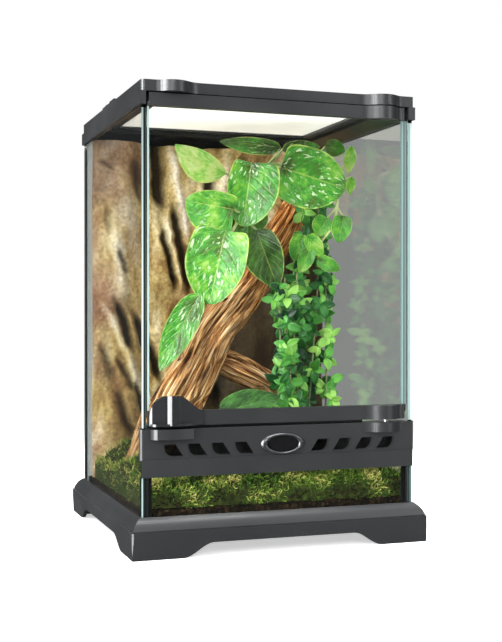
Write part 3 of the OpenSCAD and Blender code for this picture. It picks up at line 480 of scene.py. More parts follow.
#        place, lean, radius and sink of each fold, in mm and degrees
FOLDS = ((-74, 0, 36, 6), (-46, 4, 34, 17), (-62, 16, 30, 13), (10, -9, 40, 24),
         (30, 5, 36, 19), (86, 0, 38, 2), (72, -6, 36, 14))


def fold_depth(x, z):
    """How far the moulded folds stand off the back pane."""
    depth = 0.009
    for place, lean, radius, sink in FOLDS:
        slope = math.tan(math.radians(lean))
        low = -0.0025 if lean else 0.0175
        top = 0.2506 if place == 86 else 0.4
        if z > top:
            continue
        off = (x - place / 1000 - (z - low) * slope) * math.cos(math.radians(lean))
        inside = (radius / 1000) ** 2 - off * off
        if inside > 0:
            depth = max(depth, math.sqrt(inside) - sink / 1000)
    return depth


#         top of the cleft   foot of it      half width and depth in mm
CLEFTS = (((-72, 163), (-60, 125), 6, 8), ((-59, 155), (-36, 98), 7, 9), ((-86, 269), (-74, 262), 5, 4),
          ((-57, 272), (-52, 237), 7, 5), ((-71, 203), (-65, 182), 5, 5), ((-85, 130), (-74, 103), 6, 4),
          ((-72, 119), (-55, 92), 5, 5), ((-42, 294), (-37, 232), 10, 9), ((-29, 240), (-12, 166), 7, 9),
          ((-37, 222), (-25, 172), 5, 8), ((-70, 92), (-60, 58), 6, 5), ((-80, 236), (-77, 214), 5, 3),
          ((-4, 288), (6, 240), 8, 9), ((30, 280), (24, 210), 7, 8), ((0, 130), (12, 78), 7, 8),
          ((60, 270), (66, 180), 6, 7), ((-56, 102), (-50, 74), 5, 6))
#       raised, paler ribs: top, foot, half width and rise in mm
RIBS = (((-32, 290), (-16, 212), 6.5, 5), ((-34, 226), (-20, 172), 3.5, 4), ((-74, 215), (-64, 160), 9.0, 4),
        ((-82, 160), (-50, 92), 6.0, 4), ((16, 284), (10, 200), 8.0, 4), ((48, 250), (52, 130), 9.0, 4))


def held(value, least=0.0, most=1.0):
    """A value kept between two limits."""
    return min(most, max(least, value))


def near_line(x, z, line, wobble):
    """How near a place on the panel is to a leaning line: 1 on it, 0 beyond its width."""
    (x0, z0), (x1, z1), wide = line[0], line[1], line[2]
    t = (z0 - z) / (z0 - z1)
    if not -0.12 < t < 1.12:
        return 0.0
    taper = min(1.0, (t + 0.12) / 0.3, (1.12 - t) / 0.3)
    off = abs(x - (x0 + (x1 - x0) * t) - wobble)
    near = max(0.0, 1 - off / (wide * (0.5 + 0.5 * taper)))
    return near * near * (3 - 2 * near) * taper


def rock_shape(x, z):
    """Depth off the pane, painted shade (clefts, beside the wood, top left), paleness and ochre at a place on the
    panel.
    """
    near = [fold_depth(x + dx, z + dz) for dx, dz in
            ((0, 0), (0.005, 0), (-0.005, 0), (0, 0.006), (0, -0.006), (0.009, 0), (-0.009, 0))]
    depth = sum(near) / len(near)
    wobble = 3.2 * noise.noise(Vector((0, 4, z * 45))) + 1.2 * noise.noise(Vector((x * 60, 4, z * 150)))
    along = [near_line(x * 1000, z * 1000, line, wobble) for line in CLEFTS]
    cleft = max(here ** 1.4 * min(1.0, line[3] / 8) for here, line in zip(along, CLEFTS))
    ribs = [near_line(x * 1000, z * 1000, line, wobble * 1.2) for line in RIBS]
    rib = max(ribs)
    lump = noise.noise(Vector((x * 32 - z * 8, 2, z * 15))) + 0.5 * noise.noise(Vector((x * 70, 6, z * 36)))
    small = noise.noise(Vector((x * 150, 1, z * 90))) + 0.6 * noise.noise(Vector((x * 320, 5, z * 260)))
    depth += 0.0046 * lump + 0.0009 * small + 0.0028 * rib ** 1.5
    depth -= 0.001 * max(here * line[3] for here, line in zip(along, CLEFTS))
    # Painted shade besides the clefts: a little on the right of the panel below 240 mm, deep right of the wood, and
    # at the top left under the frame.
    shade_near_wood = 0.3 * held((x + 0.046) / 0.008) * (z < 0.24)
    shade_right_of_wood = held((x * 1000 + 33 - (z * 1000 - 92) * 0.74 + 6 * lump - 1) / 12)
    shade_high_left = 0.36 * held((z - 0.222) / 0.03) * held((-0.07 - x) / 0.012)
    ochre = 0.55 + 0.9 * noise.noise(Vector((x * 45, 9, z * 28))) + held((x + 0.068) * 24, -0.5, 0.45)
    ochre += 0.45 * held((0.17 - z) / 0.03) - 0.5 * held((z - 0.235) / 0.03) * (x < -0.05) - 0.7 * ribs[0]
    dark = held(max(1.35 * cleft, shade_right_of_wood, shade_high_left, shade_near_wood))
    return max(0.003, depth), dark, held(rib + 0.5 * lump), held(ochre)


def backed(piece, shift, axis, level):
    """Draws a shaped sheet out to a flat back that lies at a level along an axis."""
    bpy.ops.object.mode_set(mode="EDIT")
    bpy.ops.mesh.select_all(action="SELECT")
    bpy.ops.mesh.extrude_region_move(TRANSFORM_OT_translate={"value": shift})
    bpy.ops.object.mode_set(mode="OBJECT")
    for v in piece.data.vertices:
        if v.select:
            v.co[axis] = level
    mend()


def keep_on(mesh, name, values):
    """Keeps a value on each point of a mesh."""
    mesh.attributes.new(name, "FLOAT", "POINT").data.foreach_set("value", values)


rock = sheet("foam_rock", 170, 230)
rock_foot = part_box("rock_panel")[0][2]
marks = []
for v in rock.data.vertices:
    x = (v.co.x + 0.5) * 2 * ROCK_SIDE - ROCK_SIDE
    z = rock_foot + (v.co.y + 0.5) * (ROCK_TOP - rock_foot)
    depth, *paint_marks = rock_shape(x, z)
    edge = min(1.0, (ROCK_SIDE - abs(x)) / 0.004)
    v.co = (x, ROCK_BACK - max(0.003, depth - 0.003 * (1 - max(0.0, edge)) ** 2), z)
    marks.append(paint_marks)
for label, values in zip(("cleft", "pale", "ochre"), zip(*marks)):
    keep_on(rock.data, label, values)
backed(rock, (0, 0, 0), 1, ROCK_BACK)
smooth(60)


def value_on(tree, name):
    """A value kept on the points of the mesh."""
    return add_node(tree, "Attribute", attribute_name=name).outputs["Fac"]


def stretched(tree, vector, scale, rotation=(0, 0, 0)):
    """A pattern's place turned and pulled out."""
    return add_node(tree, "Mapping", {"Vector": vector, "Rotation": rotation, "Scale": scale}).outputs[0]


rock_mat, rock_tree, rock_bsdf = new_material("foam rock", 0.85, 0.08)
on_rock = place_on(rock_tree)
broad = clouds(rock_tree, stretched(rock_tree, on_rock, (24, 10, 13), (0, math.radians(14), 0)), 1, 5, 0.62, 0.6)
tone = number(rock_tree, "ADD", number(rock_tree, "MULTIPLY_ADD", value_on(rock_tree, "pale"), 0.2, -0.02), broad)
EARTH = ((0.3, (0.12, 0.05, 0.022)), (0.42, (0.34, 0.175, 0.09)), (0.5, (0.53, 0.345, 0.215)),
         (0.57, (0.68, 0.53, 0.4)), (0.7, (0.92, 0.8, 0.67)))
OCHRE = ((0.3, (0.13, 0.06, 0.02)), (0.42, (0.36, 0.21, 0.07)), (0.5, (0.6, 0.42, 0.16)),
         (0.57, (0.76, 0.58, 0.29)), (0.7, (0.92, 0.78, 0.55)))
paint = mixed(rock_tree, value_on(rock_tree, "ochre"), toned(rock_tree, tone, EARTH), toned(rock_tree, tone, OCHRE))
paint = scaled(rock_tree, paint, ranged(rock_tree, clouds(rock_tree, on_rock, 420, 5), 0.3, 0.7, 0.66, 1.24))
# Painted shade: the clefts and the shaded places kept in the panel's marks are darkened towards a near-black brown.
shade_amount = number(rock_tree, "MULTIPLY", value_on(rock_tree, "cleft"), 0.95)
paint = mixed(rock_tree, shade_amount, paint, (0.015, 0.0085, 0.0045, 1))
rock_parts = parts_of(rock_tree, on_rock)
bare = number(rock_tree, "MAXIMUM", number(rock_tree, "LESS_THAN", rock_parts["X"], -0.08995),
              number(rock_tree, "GREATER_THAN", rock_parts["Y"], 0.0895))
rock_tree.links.new(mixed(rock_tree, bare, paint, (0.33, 0.33, 0.31, 1)), rock_bsdf.inputs["Base Color"])
bumped(rock_tree, rock_bsdf, clouds(rock_tree, on_rock, 180, 6), 0.7, 0.0008)
rock.data.materials.append(rock_mat)
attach(rock, "cabinet")
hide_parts("rock_panel")

# ---------------------------------------------------------------- driftwood
# A weathered branch with long grooves in its grain, leaning from the moss to the
# back right, and the splintered stub of a fork.


def sweep(path, radii, sides, rings, name):
    """Round bar along a path of points in mm, as a mesh with a map along it."""
    points = [Vector(p) / 1000 for p in path]
    bar = sheet(name, sides, rings)
    spans = len(points) - 1

    def at(t):
        k = min(spans - 1, int(t * spans))
        u = t * spans - k
        p0, p1, p2, p3 = (points[max(0, min(spans, k + i))] for i in (-1, 0, 1, 2))
        place = 0.5 * (2 * p1 + (p2 - p0) * u + (2 * p0 - 5 * p1 + 4 * p2 - p3) * u * u
                       + (3 * p1 - p0 - 3 * p2 + p3) * u ** 3)
        return place, (radii[k] + (radii[k + 1] - radii[k]) * u) / 1000

    for v in bar.data.vertices:
        a = (v.co.x + 0.5) * 2 * math.pi
        t = held(v.co.y + 0.5)
        place, radius = at(t)
        ahead = (at(min(1, t + 0.01))[0] - at(max(0, t - 0.01))[0]).normalized()
        side = ahead.cross(Vector((0.3, 1, 0.2))).normalized()
        up = ahead.cross(side)
        v.co = place + radius * (math.cos(a) * side + math.sin(a) * up)
    return bar


def close_bar(bar):
    """Joins the seam of a swept bar, closes its ends and turns its faces out."""
    pick(bar)
    mend(weld=True, caps=True)
    smooth(70)


def weather(bar, length, seed, jag):
    """Cuts long grooves along a branch and splinters its far end."""
    uv = bar.data.uv_layers.active.data
    param = {}
    for loop in bar.data.loops:
        param[loop.vertex_index] = uv[loop.index].uv.copy()
    moves = []
    for v in bar.data.vertices:
        u, t = param[v.index]
        if u > 0.999:
            u = 0.0
        a = u * 2 * math.pi
        ring = Vector((math.cos(a) * 1.7, math.sin(a) * 1.7, t * length * 9))
        groove = noise.noise(ring * 2.6 + Vector((seed, 0, t * 2)))
        fine = noise.noise(Vector((math.cos(a) * 9, math.sin(a) * 9, t * length * 24 + seed)))
        deep = -max(0.0, 1 - abs(noise.noise(ring * 1.9 + Vector((0, seed, 0)))) * 7)
        push = 0.0022 * groove + 0.0011 * fine + 0.0046 * deep
        out = Vector((v.normal.x, v.normal.y, v.normal.z))
        tip = max(0.0, (t - 0.94) / 0.06)
        splinter = noise.noise(Vector((math.cos(a) * 5, math.sin(a) * 5, seed)))
        moves.append((v, out * push, tip * jag * splinter))
    return moves


WOOD = ((-71, -16, 40), (-57, -8, 66), (-43, 0, 92), (-27, 8, 117), (-12, 15, 141), (4, 22, 159),
        (20, 28, 176), (36, 33, 198), (50, 38, 218), (61, 42, 236))
WOOD_R = (16.8, 18.2, 17.6, 16, 15.2, 14.7, 13.8, 12.5, 11.5, 9)
STUB = ((-22, 13, 126), (-2, 12, 116), (12, 10, 109), (28, 7, 100), (43, 4, 91))
STUB_R = (6.4, 9.6, 9.9, 8, 5.4)
wood_parts = []
for name, path, radii, sides, rings, length, seed, jag, way in (
        ("branch", WOOD, WOOD_R, 120, 220, 0.26, 3.0, 0.014, (0.35, 0.12, 0.93)),
        ("fork", STUB, STUB_R, 72, 70, 0.08, 8.0, 0.012, (0.84, -0.1, -0.53))):
    bar = sweep(path, radii, sides, rings, name)
    for v, push, tip in weather(bar, length, seed, jag):
        v.co = v.co + push + Vector(way) * tip
    for loop in bar.data.loops:
        spot = bar.data.uv_layers.active.data[loop.index].uv
        spot.x, spot.y = spot.x * 0.1, spot.y * length
    close_bar(bar)
    wood_parts.append(bar)
wood = joined(wood_parts, "driftwood_branch")
wood_mat, wood_tree, wood_bsdf = new_material("driftwood", 0.8, 0.12)
on_wood = on_map(wood_tree)
fibre = clouds(wood_tree, stretched(wood_tree, on_wood, (880, 30, 1)), 1, 6, 0.7, 0.25)
bark = toned(wood_tree, fibre, ((0.34, (0.012, 0.006, 0.003)), (0.42, (0.13, 0.045, 0.014)),
                                (0.49, (0.5, 0.22, 0.065)), (0.57, (0.78, 0.5, 0.24)), (0.66, (1.0, 0.86, 0.64))))
stain = clouds(wood_tree, stretched(wood_tree, on_wood, (230, 22, 1)), 1, 4, 0.6)
bark = scaled(wood_tree, bark, ranged(wood_tree, stain, 0.35, 0.65, 0.4, 1.35))
far_end = ranged(wood_tree, parts_of(wood_tree, on_wood)["Y"], 0.13, 0.19, 0, 0.65)
amber = mixed(wood_tree, far_end, bark, (1.1, 0.76, 0.36, 1), blend_type="MULTIPLY")
wood_tree.links.new(amber, wood_bsdf.inputs["Base Color"])
bumped(wood_tree, wood_bsdf, fibre, 0.8, 0.001)
wood.data.materials.append(wood_mat)
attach(wood, "cabinet")
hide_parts("driftwood")

# ---------------------------------------------------------------- soil
# A pressed bed of dark peat and bark crumbs on the floor glass, seen as a low
# dark band behind the lower pane.
SOIL_FOOT, SOIL_TOP = 0.0171, 0.0298


def crumple(x, y, scale, seed):
    """Smooth noise of about -1 to 1 over the plan of the bed."""
    return noise.noise(Vector((x * scale, y * scale, seed)))


soil = sheet("soil_bed", 110, 100)
for v in soil.data.vertices:
    x, y = v.co.x * 0.1802, -0.00435 + v.co.y * 0.1706
    lift = 0.0009 * crumple(x, y, 260, 1) + 0.0012 * crumple(x, y, 60, 4)
    v.co = (x, y, SOIL_TOP + lift)
backed(soil, (0, 0, -0.004), 2, SOIL_FOOT)
soil_mat, soil_tree, soil_bsdf = new_material("peat and bark", 0.95, 0.05)
crumb = add_node(soil_tree, "TexVoronoi", {"Vector": place_on(soil_tree), "Scale": 480}).outputs
crumb_value = add_node(soil_tree, "SeparateColor", (crumb["Color"],)).outputs[0]
peat = toned(soil_tree, crumb_value, ((0.0, (0.004, 0.003, 0.002)), (0.7, (0.012, 0.008, 0.004)),
                                      (1.0, (0.035, 0.021, 0.01))))
soil_tree.links.new(peat, soil_bsdf.inputs["Base Color"])
bumped(soil_tree, soil_bsdf, crumb["Distance"], 0.9, 0.0012)
soil.data.materials.append(soil_mat)
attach(soil, "cabinet")
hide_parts("soil")

# ---------------------------------------------------------------- moss
# A deep cushion of curled moss: soft mounds, with thousands of curved shoots on
# top of it and pressed along the lower panes.
MOSS_FOOT = 0.0302
MOUNDS = ((-70, -30, 21, 38), (-60, 32, 27, 36), (-20, -48, 19, 36), (5, 20, 9, 50),
          (34, -36, 15, 42), (70, -10, 17, 40))


def moss_height(x, y):
    """Height of the cushion over a place in the cabin."""
    top = 0.0462 + 0.0018 * crumple(x, y, 55, 2.5)
    for cx, cy, cz, radius in MOUNDS:
        gap = (radius / 1000) ** 2 - (x - cx / 1000) ** 2 - (y - cy / 1000) ** 2
        if gap > 0:
            bulge = cz / 1000 + math.sqrt(gap) - 0.001
            top = max(top, bulge)
    return top + 0.0012 * crumple(x, y, 210, 6) - 0.001


cushion = sheet("moss_cushion", 150, 124)
for v in cushion.data.vertices:
    x, y = v.co.x * 0.1796, -0.0149 + v.co.y * 0.1476
    edge = min(0.0898 - abs(x), y + 0.0887, 0.0589 - y) / 0.004
    v.co = (x, y, moss_height(x, y) - 0.0035 * max(0.0, 1 - edge) ** 2)
backed(cushion, (0, 0, -0.004), 2, MOSS_FOOT)
smooth(60)


def copies(model, places, name):
    """One mesh of many copies of a modelled piece, each with a matrix, a tint and
    a share of shade from its foot to its tip."""
    corners = [v.co.copy() for v in model.data.vertices]
    faces = [tuple(p.vertices) for p in model.data.polygons]
    tall = max(c.y for c in corners)
    points, sheets, tint, rise = [], [], [], []
    for matrix, shade in places:
        start = len(points)
        points += [matrix @ c for c in corners]
        sheets += [tuple(start + i for i in face) for face in faces]
        tint += [shade] * len(corners)
        rise += [c.y / tall for c in corners]
    mesh = bpy.data.meshes.new(name)
    mesh.from_pydata(points, [], sheets)
    keep_on(mesh, "tint", tint)
    keep_on(mesh, "rise", rise)
    mesh.shade_smooth()
    made = bpy.data.objects.new(name, mesh)
    bpy.context.collection.objects.link(made)
    bpy.data.objects.remove(model)
    return made


SHOOT_LONG = 0.0062
shoot = sheet("moss_shoot", 1, 4)
for v in shoot.data.vertices:
    t = v.co.y + 0.5
    wide = 0.00062 * (1.15 - t) * (0.6 + 1.5 * t if t < 0.3 else 1.05)
    v.co = (v.co.x * 1.5 * wide, SHOOT_LONG * math.sin(2.1 * t) / 2.1 * 1.3,
            SHOOT_LONG * (1 - math.cos(2.7 * t)) / 2.7)
FULL_TURN = 6.283
random.seed(11)
places = []


def lean_matrix(place, up, lean, turn, size):
    """Puts a shoot's foot at a place, its tip toward `up`, leaning and turned."""
    base = up.to_track_quat("Y", "Z").to_matrix().to_4x4()
    spin = Matrix.Rotation(turn, 4, "Y")
    tip = Matrix.Rotation(lean, 4, "X")
    return Matrix.Translation(place) @ base @ spin @ tip @ Matrix.Scale(size, 4)


TOP_SHOOTS, SIDE_SHOOTS, FRONT_SHARE = 7600, 9800, 0.72
while len(places) < TOP_SHOOTS:
    x, y = random.uniform(-0.0885, 0.0885), random.uniform(-0.0872, 0.0572)
    if random.random() > 1.15 - (y + 0.0872) * 5:
        continue
    z = moss_height(x, y)
    size = random.uniform(0.6, 1.15)
    clump = 0.5 + 0.5 * crumple(x, y, 70, 21)
    shade = held(1.25 * clump - 0.1 + random.uniform(-0.3, 0.3) + 0.2 * (x < -0.055))
    places.append((lean_matrix(Vector((x, y, z - 0.001)), Vector((0, 0, 1)), random.uniform(-0.3, 0.9),
                               random.uniform(0, FULL_TURN), size), shade))
for k in range(SIDE_SHOOTS):
    in_front = random.random() < FRONT_SHARE
    z = random.uniform(0.0185, 0.0475)
    sink = min(1.0, (z - 0.0185) / 0.026)
    if in_front:
        place, out = Vector((random.uniform(-0.0885, 0.0885), -0.0885, z)), Vector((0, -1, 0))
    else:
        wall = 1 if random.random() < 0.5 else -1
        place, out = Vector((0.0891 * wall, random.uniform(-0.0875, 0.055), z)), Vector((wall, 0, 0))
    patch_tone = crumple(place.x + place.y, place.z, 75, 31)
    if sink < 0.5 and patch_tone < 0.08 - 0.5 * sink:
        continue
    shade = -0.22 + 0.94 * sink + 1.05 * patch_tone + random.uniform(-0.25, 0.25) + 0.22 * (place.x < -0.089)
    heading = Vector((random.uniform(-1, 1) * in_front, random.uniform(-1, 1) * (not in_front),
                      random.uniform(-0.35, 1))) + out * 0.02
    places.append((lean_matrix(place, heading.normalized(), 0.0, random.uniform(0, FULL_TURN),
                               random.uniform(0.55, 1.0)), held(shade)))
shoots = copies(shoot, places, "moss_shoots")
for v in shoots.data.vertices:
    v.co = (held(v.co.x, -0.0901, 0.0901), held(v.co.y, -0.0896, 0.059), max(0.0174, v.co.z))
moss_mat, moss_tree, moss_bsdf = new_material("moss", 0.75, 0.06)
greens = toned(moss_tree, value_on(moss_tree, "tint"), (
    (0.05, (0.006, 0.006, 0.002)), (0.2, (0.045, 0.03, 0.01)), (0.36, (0.025, 0.06, 0.012)),
    (0.58, (0.1, 0.2, 0.02)), (0.8, (0.28, 0.38, 0.05)), (1.0, (0.55, 0.5, 0.14))))
# Painted shade: each shoot is darker towards its foot, down in the cushion, and lighter at its tip.
greens = scaled(moss_tree, greens, ranged(moss_tree, value_on(moss_tree, "rise"), 0, 1, 0.2, 1.15))
moss_tree.links.new(greens, moss_bsdf.inputs["Base Color"])
shoots.data.materials.append(moss_mat)
cushion_mat, cushion_tree, cushion_bsdf = new_material("moss cushion", 0.95, 0.05)
felt = clouds(cushion_tree, place_on(cushion_tree), 260, 6)
felt_tone = toned(cushion_tree, felt, ((0.35, (0.02, 0.018, 0.006)), (0.7, (0.05, 0.075, 0.015))))
cushion_tree.links.new(felt_tone, cushion_bsdf.inputs["Base Color"])
bumped(cushion_tree, cushion_bsdf, felt, 1, 0.002)
cushion.data.materials.append(cushion_mat)
for piece in (shoots, cushion):
    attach(piece, "cabinet")
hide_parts("moss")
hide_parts("moss")

# ---------------------------------------------------------------- climbing vine
# Pale stems that hang from the wood and carry heart-shaped leaves, each with a
# fold along its midrib, a cupped blade, veins and pale spots.
VINE = ((59, 38, 236), (58, 26, 252), (52, 16, 262), (38, 9, 264), (24, 4, 262), (12, 0, 259),
        (2, -4, 252), (-1, -6, 240), (0, -9, 226), (-8, -11, 211), (-18, -12, 196))
RUNNER = ((52, 16, 262), (64, 4, 259), (74, -8, 251), (74, -10, 232), (70, -10, 217), (62, -9, 206))
STALKS = (((2, -4, 252), (-10.6, -5, 253.6)), ((2, -4, 252), (6.9, -12, 261.2)),
          ((0, -9, 226), (-8.3, -18, 226.9)), ((-18, -12, 196), (-16.1, -22, 211)),
          ((24, 4, 262), (28.1, -15, 258.5)), ((0, -9, 226), (13.1, -5, 213.8)),
          ((-18, -12, 196), (-34.2, -20, 166.7)), ((24, 4, 262), (34.8, 4, 275.8)),
          ((24, 4, 262), (37.9, 8, 275)), ((52, 16, 262), (70.8, 4, 278)), ((0, -9, 226), (21.5, 7, 231)),
          ((74, -8, 251), (84, -14, 276.5)), ((74, -8, 251), (84, -14, 253.9)),
          ((74, -10, 232), (67, -8, 223.7)), ((74, -10, 232), (78, -13, 225.1)),
          ((62, -9, 206), (49.1, -6, 210.5)), ((62, -9, 206), (51.1, -9, 210.4)),
          ((62, -9, 206), (59, -9, 193.3)), ((62, -9, 206), (53.1, -10, 201.2)))
stems = [sweep(VINE, [1.6 - 0.05 * k for k in range(11)], 10, 66, "vine_main"),
         sweep(RUNNER, [1.4 - 0.12 * k for k in range(6)], 10, 40, "vine_runner")]
for k, (foot, tip) in enumerate(STALKS):
    bend = [(foot[i] + tip[i]) / 2 for i in range(3)]
    bend[2] -= 0.06 * math.dist(foot, tip)
    stems.append(sweep((foot, bend, tip), (1, 0.85, 0.75), 8, 12, f"vine_stalk_{k}"))
for stem in stems:
    close_bar(stem)
vine = joined(stems, "vine_stem")


def stem_material(name, rough, scale, dark, light):
    """Streaked skin of a stem."""
    mat, tree, bsdf = new_material(name, rough)
    skin = toned(tree, clouds(tree, place_on(tree), scale), ((0.3, dark), (0.7, light)))
    tree.links.new(skin, bsdf.inputs["Base Color"])
    return mat


stem_mat = stem_material("vine stem", 0.5, 160, (0.2, 0.26, 0.06), (0.5, 0.55, 0.24))
vine.data.materials.append(stem_mat)
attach(vine, "cabinet")
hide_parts("vine_stems")

LEAF_UNIT = 0.05
#        place of the foot    turn tilt roll  long right left lobe tone spots cup
LEAVES = (((-10.6, -5, 253.6), -19, 6, 60, 0.83, 0.13, 0.31, 0, 0.9, 0.35, 0.5),
          ((6.9, -12, 261.2), -24, -8, 172, 0.92, 0.28, 0.46, 0.15, 0.54, 0.9, 0.6),
          ((-8.3, -18, 226.9), -14, 5, 80, 0.69, 0.21, 0.43, 0.16, 0.6, 0.5, 0.5),
          ((-16.1, -22, 211), -22, -10, 168, 1.05, 0.46, 0.4, 0.15, 0.55, 0.85, 0.5),
          ((28.1, -15, 258.5), -12, 6, -107, 1, 0.47, 0.41, 0.14, 0.54, 1, 0.35),
          ((13.1, -5, 213.8), -26, -6, -160, 0.89, 0.32, 0.26, 0.06, 0.2, 0, 0.7),
          ((-34.2, -20, 166.7), -30, -8, 152, 1.21, 0.22, 0.23, 0.04, 0.48, 0.9, 0.6),
          ((34.8, 4, 275.8), -12, 4, 85, 0.9, 0.1, 0.15, 0.05, 0.22, 0.4, 0.4),
          ((37.9, 8, 275), -10, 4, -84, 0.57, 0.1, 0.11, 0.05, 0.3, 0.5, 0.5),
          ((70.8, 4, 278), -19, 0, -102, 0.3, 0.13, 0.13, 0.08, 0.35, 0.2, 0.4),
          ((21.5, 7, 231), -19, 0, 138, 0.56, 0.23, 0.23, 0.06, 0.34, 0.2, 0.5),
          ((84, -14, 276.5), -19, 0, 172, 0.42, 0.09, 0.09, 0, 0.8, 0.1, 0.5),
          ((84, -14, 253.9), -19, 0, 172, 0.27, 0.07, 0.07, 0, 0.75, 0.1, 0.5),
          ((67, -8, 223.7), -19, 0, 149, 0.3, 0.16, 0.15, 0.1, 0.5, 0.1, 0.4),
          ((78, -13, 225.1), -19, 0, 169, 0.4, 0.15, 0.15, 0.1, 0.48, 0.1, 0.4),
          ((49.1, -6, 210.5), -19, 0, 158, 0.39, 0.15, 0.16, 0.1, 0.6, 0.1, 0.5),
          ((51.1, -9, 210.4), -19, 0, -145, 0.38, 0.12, 0.12, 0.08, 0.62, 0.1, 0.5),
          ((59, -9, 193.3), -19, 0, -116, 0.37, 0.11, 0.1, 0.08, 0.5, 0.1, 0.5),
          ((53.1, -10, 201.2), -19, 0, 156, 0.4, 0.11, 0.12, 0.05, 0.55, 0.1, 0.5))


def leaf(name, place, turn, tilt, roll, long, right, left, lobe, tone, spots, cup, seed):
    """One leaf: a grid mapped to the outline of a heart, cupped, waved and solid."""
    blade = sheet(name, 20, 34)
    length, width = LEAF_UNIT * long, LEAF_UNIT * (right + left)
    spin = Matrix.Rotation(math.radians(turn), 4, "Z") @ Matrix.Rotation(math.radians(90 + tilt), 4, "X")
    spin = Matrix.Translation(Vector(place) / 1000) @ spin @ Matrix.Rotation(math.radians(roll), 4, "Z")
    for v in blade.data.vertices:
        s, t = v.co.x * 2, v.co.y + 0.5
        half = math.sin(math.pi * held(t, 0.0035, 0.9985) ** 0.8) ** (0.8 - 2 * lobe)
        rim = abs(s)
        x = s * half * LEAF_UNIT * (right if s > 0 else left)
        back = lobe * math.sin(math.pi * min(1.0, t * 2.6)) if t < 0.385 else 0.0
        y = (t - back * rim) * length
        z = 0.0006 + cup * 0.24 * width * (half * rim) ** 1.3
        z -= 0.17 * cup * length * t ** 2.2
        z += 0.02 * width * math.sin(t * 11 + seed * 1.7 + (2 if s > 0 else 0)) * rim ** 2
        z += 0.012 * width * (0.5 - abs(((t * 7 - rim * 2.2) % 1) - 0.5)) * min(1, rim * 4) * (1 - t)
        v.co = spin @ Vector((x, y, z))
    pick(blade)
    worked(blade, "SOLIDIFY", thickness=0.0005, offset=0)
    smooth(60)
    for label, value in (("tone", tone), ("spots", spots)):
        keep_on(blade.data, label, [value] * len(blade.data.vertices))
    return blade


foliage = joined([leaf(f"vine_leaf_{k}", *row, k) for k, row in enumerate(LEAVES)], "vine_foliage")


def leaf_material(name, tones, spot_colour, rib_colour, spots):
    """A leaf blade: blotchy green, painted shade round the midrib near its foot, midrib,
    side veins, pale spots that follow the veins, and a paler rim."""
    mat, tree, bsdf = new_material(name, 0.36, 0.2)

    def sum_of(operation, *values):
        return number(tree, operation, *values)

    def times(first, second):
        return number(tree, "MULTIPLY", first, second)

    def spread(value, low, high, top):
        return ranged(tree, value, low, high, 0, top)

    on_leaf = place_on(tree)
    split = parts_of(tree, on_map(tree))
    tone, spotted = value_on(tree, "tone"), value_on(tree, "spots")
    side = sum_of("ABSOLUTE", sum_of("SUBTRACT", split["X"], 0.5))
    wave = sum_of("SUBTRACT", times(split["Y"], 7.5), times(side, 5.2))
    vein = spread(sum_of("ABSOLUTE", sum_of("SUBTRACT", sum_of("FRACT", wave), 0.5)), 0.2, 0.0, 1)
    rib = spread(side, 0.022, 0.004, 1)
    across = add_node(tree, "CombineXYZ", (times(split["X"], 19.0), times(wave, 1.9), times(tone, 37.0))).outputs[0]
    streak = clouds(tree, across, 0.55, 4, 0.6)
    blotch = clouds(tree, on_leaf, 75, 6, 0.62)
    # Painted shade: the tone drops round the midrib near the foot, by the notch.
    foot = times(spread(split["Y"], 0.4, 0.1, 1), spread(side, 0.34, 0.0, 0.3))
    level = sum_of("ADD", times(sum_of("SUBTRACT", blotch, 0.5), 1.7), times(sum_of("SUBTRACT", streak, 0.5), 0.75))
    green = toned(tree, sum_of("SUBTRACT", sum_of("ADD", tone, level), foot), tones)
    large = spread(clouds(tree, across, 0.8, 1.5), 0.6, 0.64, 1)
    fine = spread(clouds(tree, across, 2.6, 2, 0.6), 0.64, 0.69, 0.85)
    cluster = spread(clouds(tree, on_leaf, 55, 1), 0.36, 0.55, 1)
    flecks = times(sum_of("MAXIMUM", large, fine), times(cluster, spotted))
    colour = mixed(tree, times(flecks, spots), green, spot_colour)
    rim = times(spread(side, 0.468, 0.49, 1), spread(blotch, 0.3, 0.62, 0.9))
    colour = mixed(tree, rim, colour, rib_colour)
    colour = mixed(tree, sum_of("MAXIMUM", times(rib, 0.35), times(vein, 0.07)), colour, rib_colour)
    tree.links.new(colour, bsdf.inputs["Base Color"])
    swell = sum_of("ADD", times(clouds(tree, on_leaf, 130), 2.2), times(blotch, 0.8))
    veined = sum_of("SUBTRACT", swell, times(sum_of("MAXIMUM", vein, rib), 0.35))
    bumped(tree, bsdf, veined, 0.6, 0.0011)
    return mat


foliage.data.materials.append(leaf_material(
    "vine leaf", ((0.0, (0.014, 0.045, 0.006)), (0.28, (0.045, 0.125, 0.01)), (0.5, (0.035, 0.24, 0.018)),
                  (0.75, (0.15, 0.38, 0.03)), (1.0, (0.37, 0.47, 0.13))),
    (0.52, 0.64, 0.38, 1), (0.5, 0.58, 0.12, 1), 0.95))
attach(foliage, "cabinet")
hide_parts("vine_leaves")

# ---------------------------------------------------------------- ground leaf
# One broad dark leaf of a low plant, on its own stalk out of the moss. The blade
# is made like the vine's, in darker greens.
broad = leaf("broad_leaf", (-24, -34, 84), -8, -34, -72, 0.95, 0.22, 0.22, 0.05, 0.4, 0.3, 0.5, 5)
broad.data.materials.append(leaf_material(
    "dark leaf", ((0.0, (0.008, 0.03, 0.006)), (0.28, (0.02, 0.07, 0.012)), (0.5, (0.04, 0.14, 0.02)),
                  (0.75, (0.07, 0.2, 0.03)), (1.0, (0.12, 0.28, 0.06))),
    (0.2, 0.36, 0.12, 1), (0.16, 0.32, 0.08, 1), 0.5))
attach(broad, "cabinet")
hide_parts("ground_leaf")
foot_stalk = sweep(((-27, -33, 46), (-26, -34.5, 66), (-22, -35, 85.4)), (1.4, 1.2, 1), 10, 20, "broad_leaf_stalk")
close_bar(foot_stalk)
foot_stalk.data.materials.append(stem_mat)
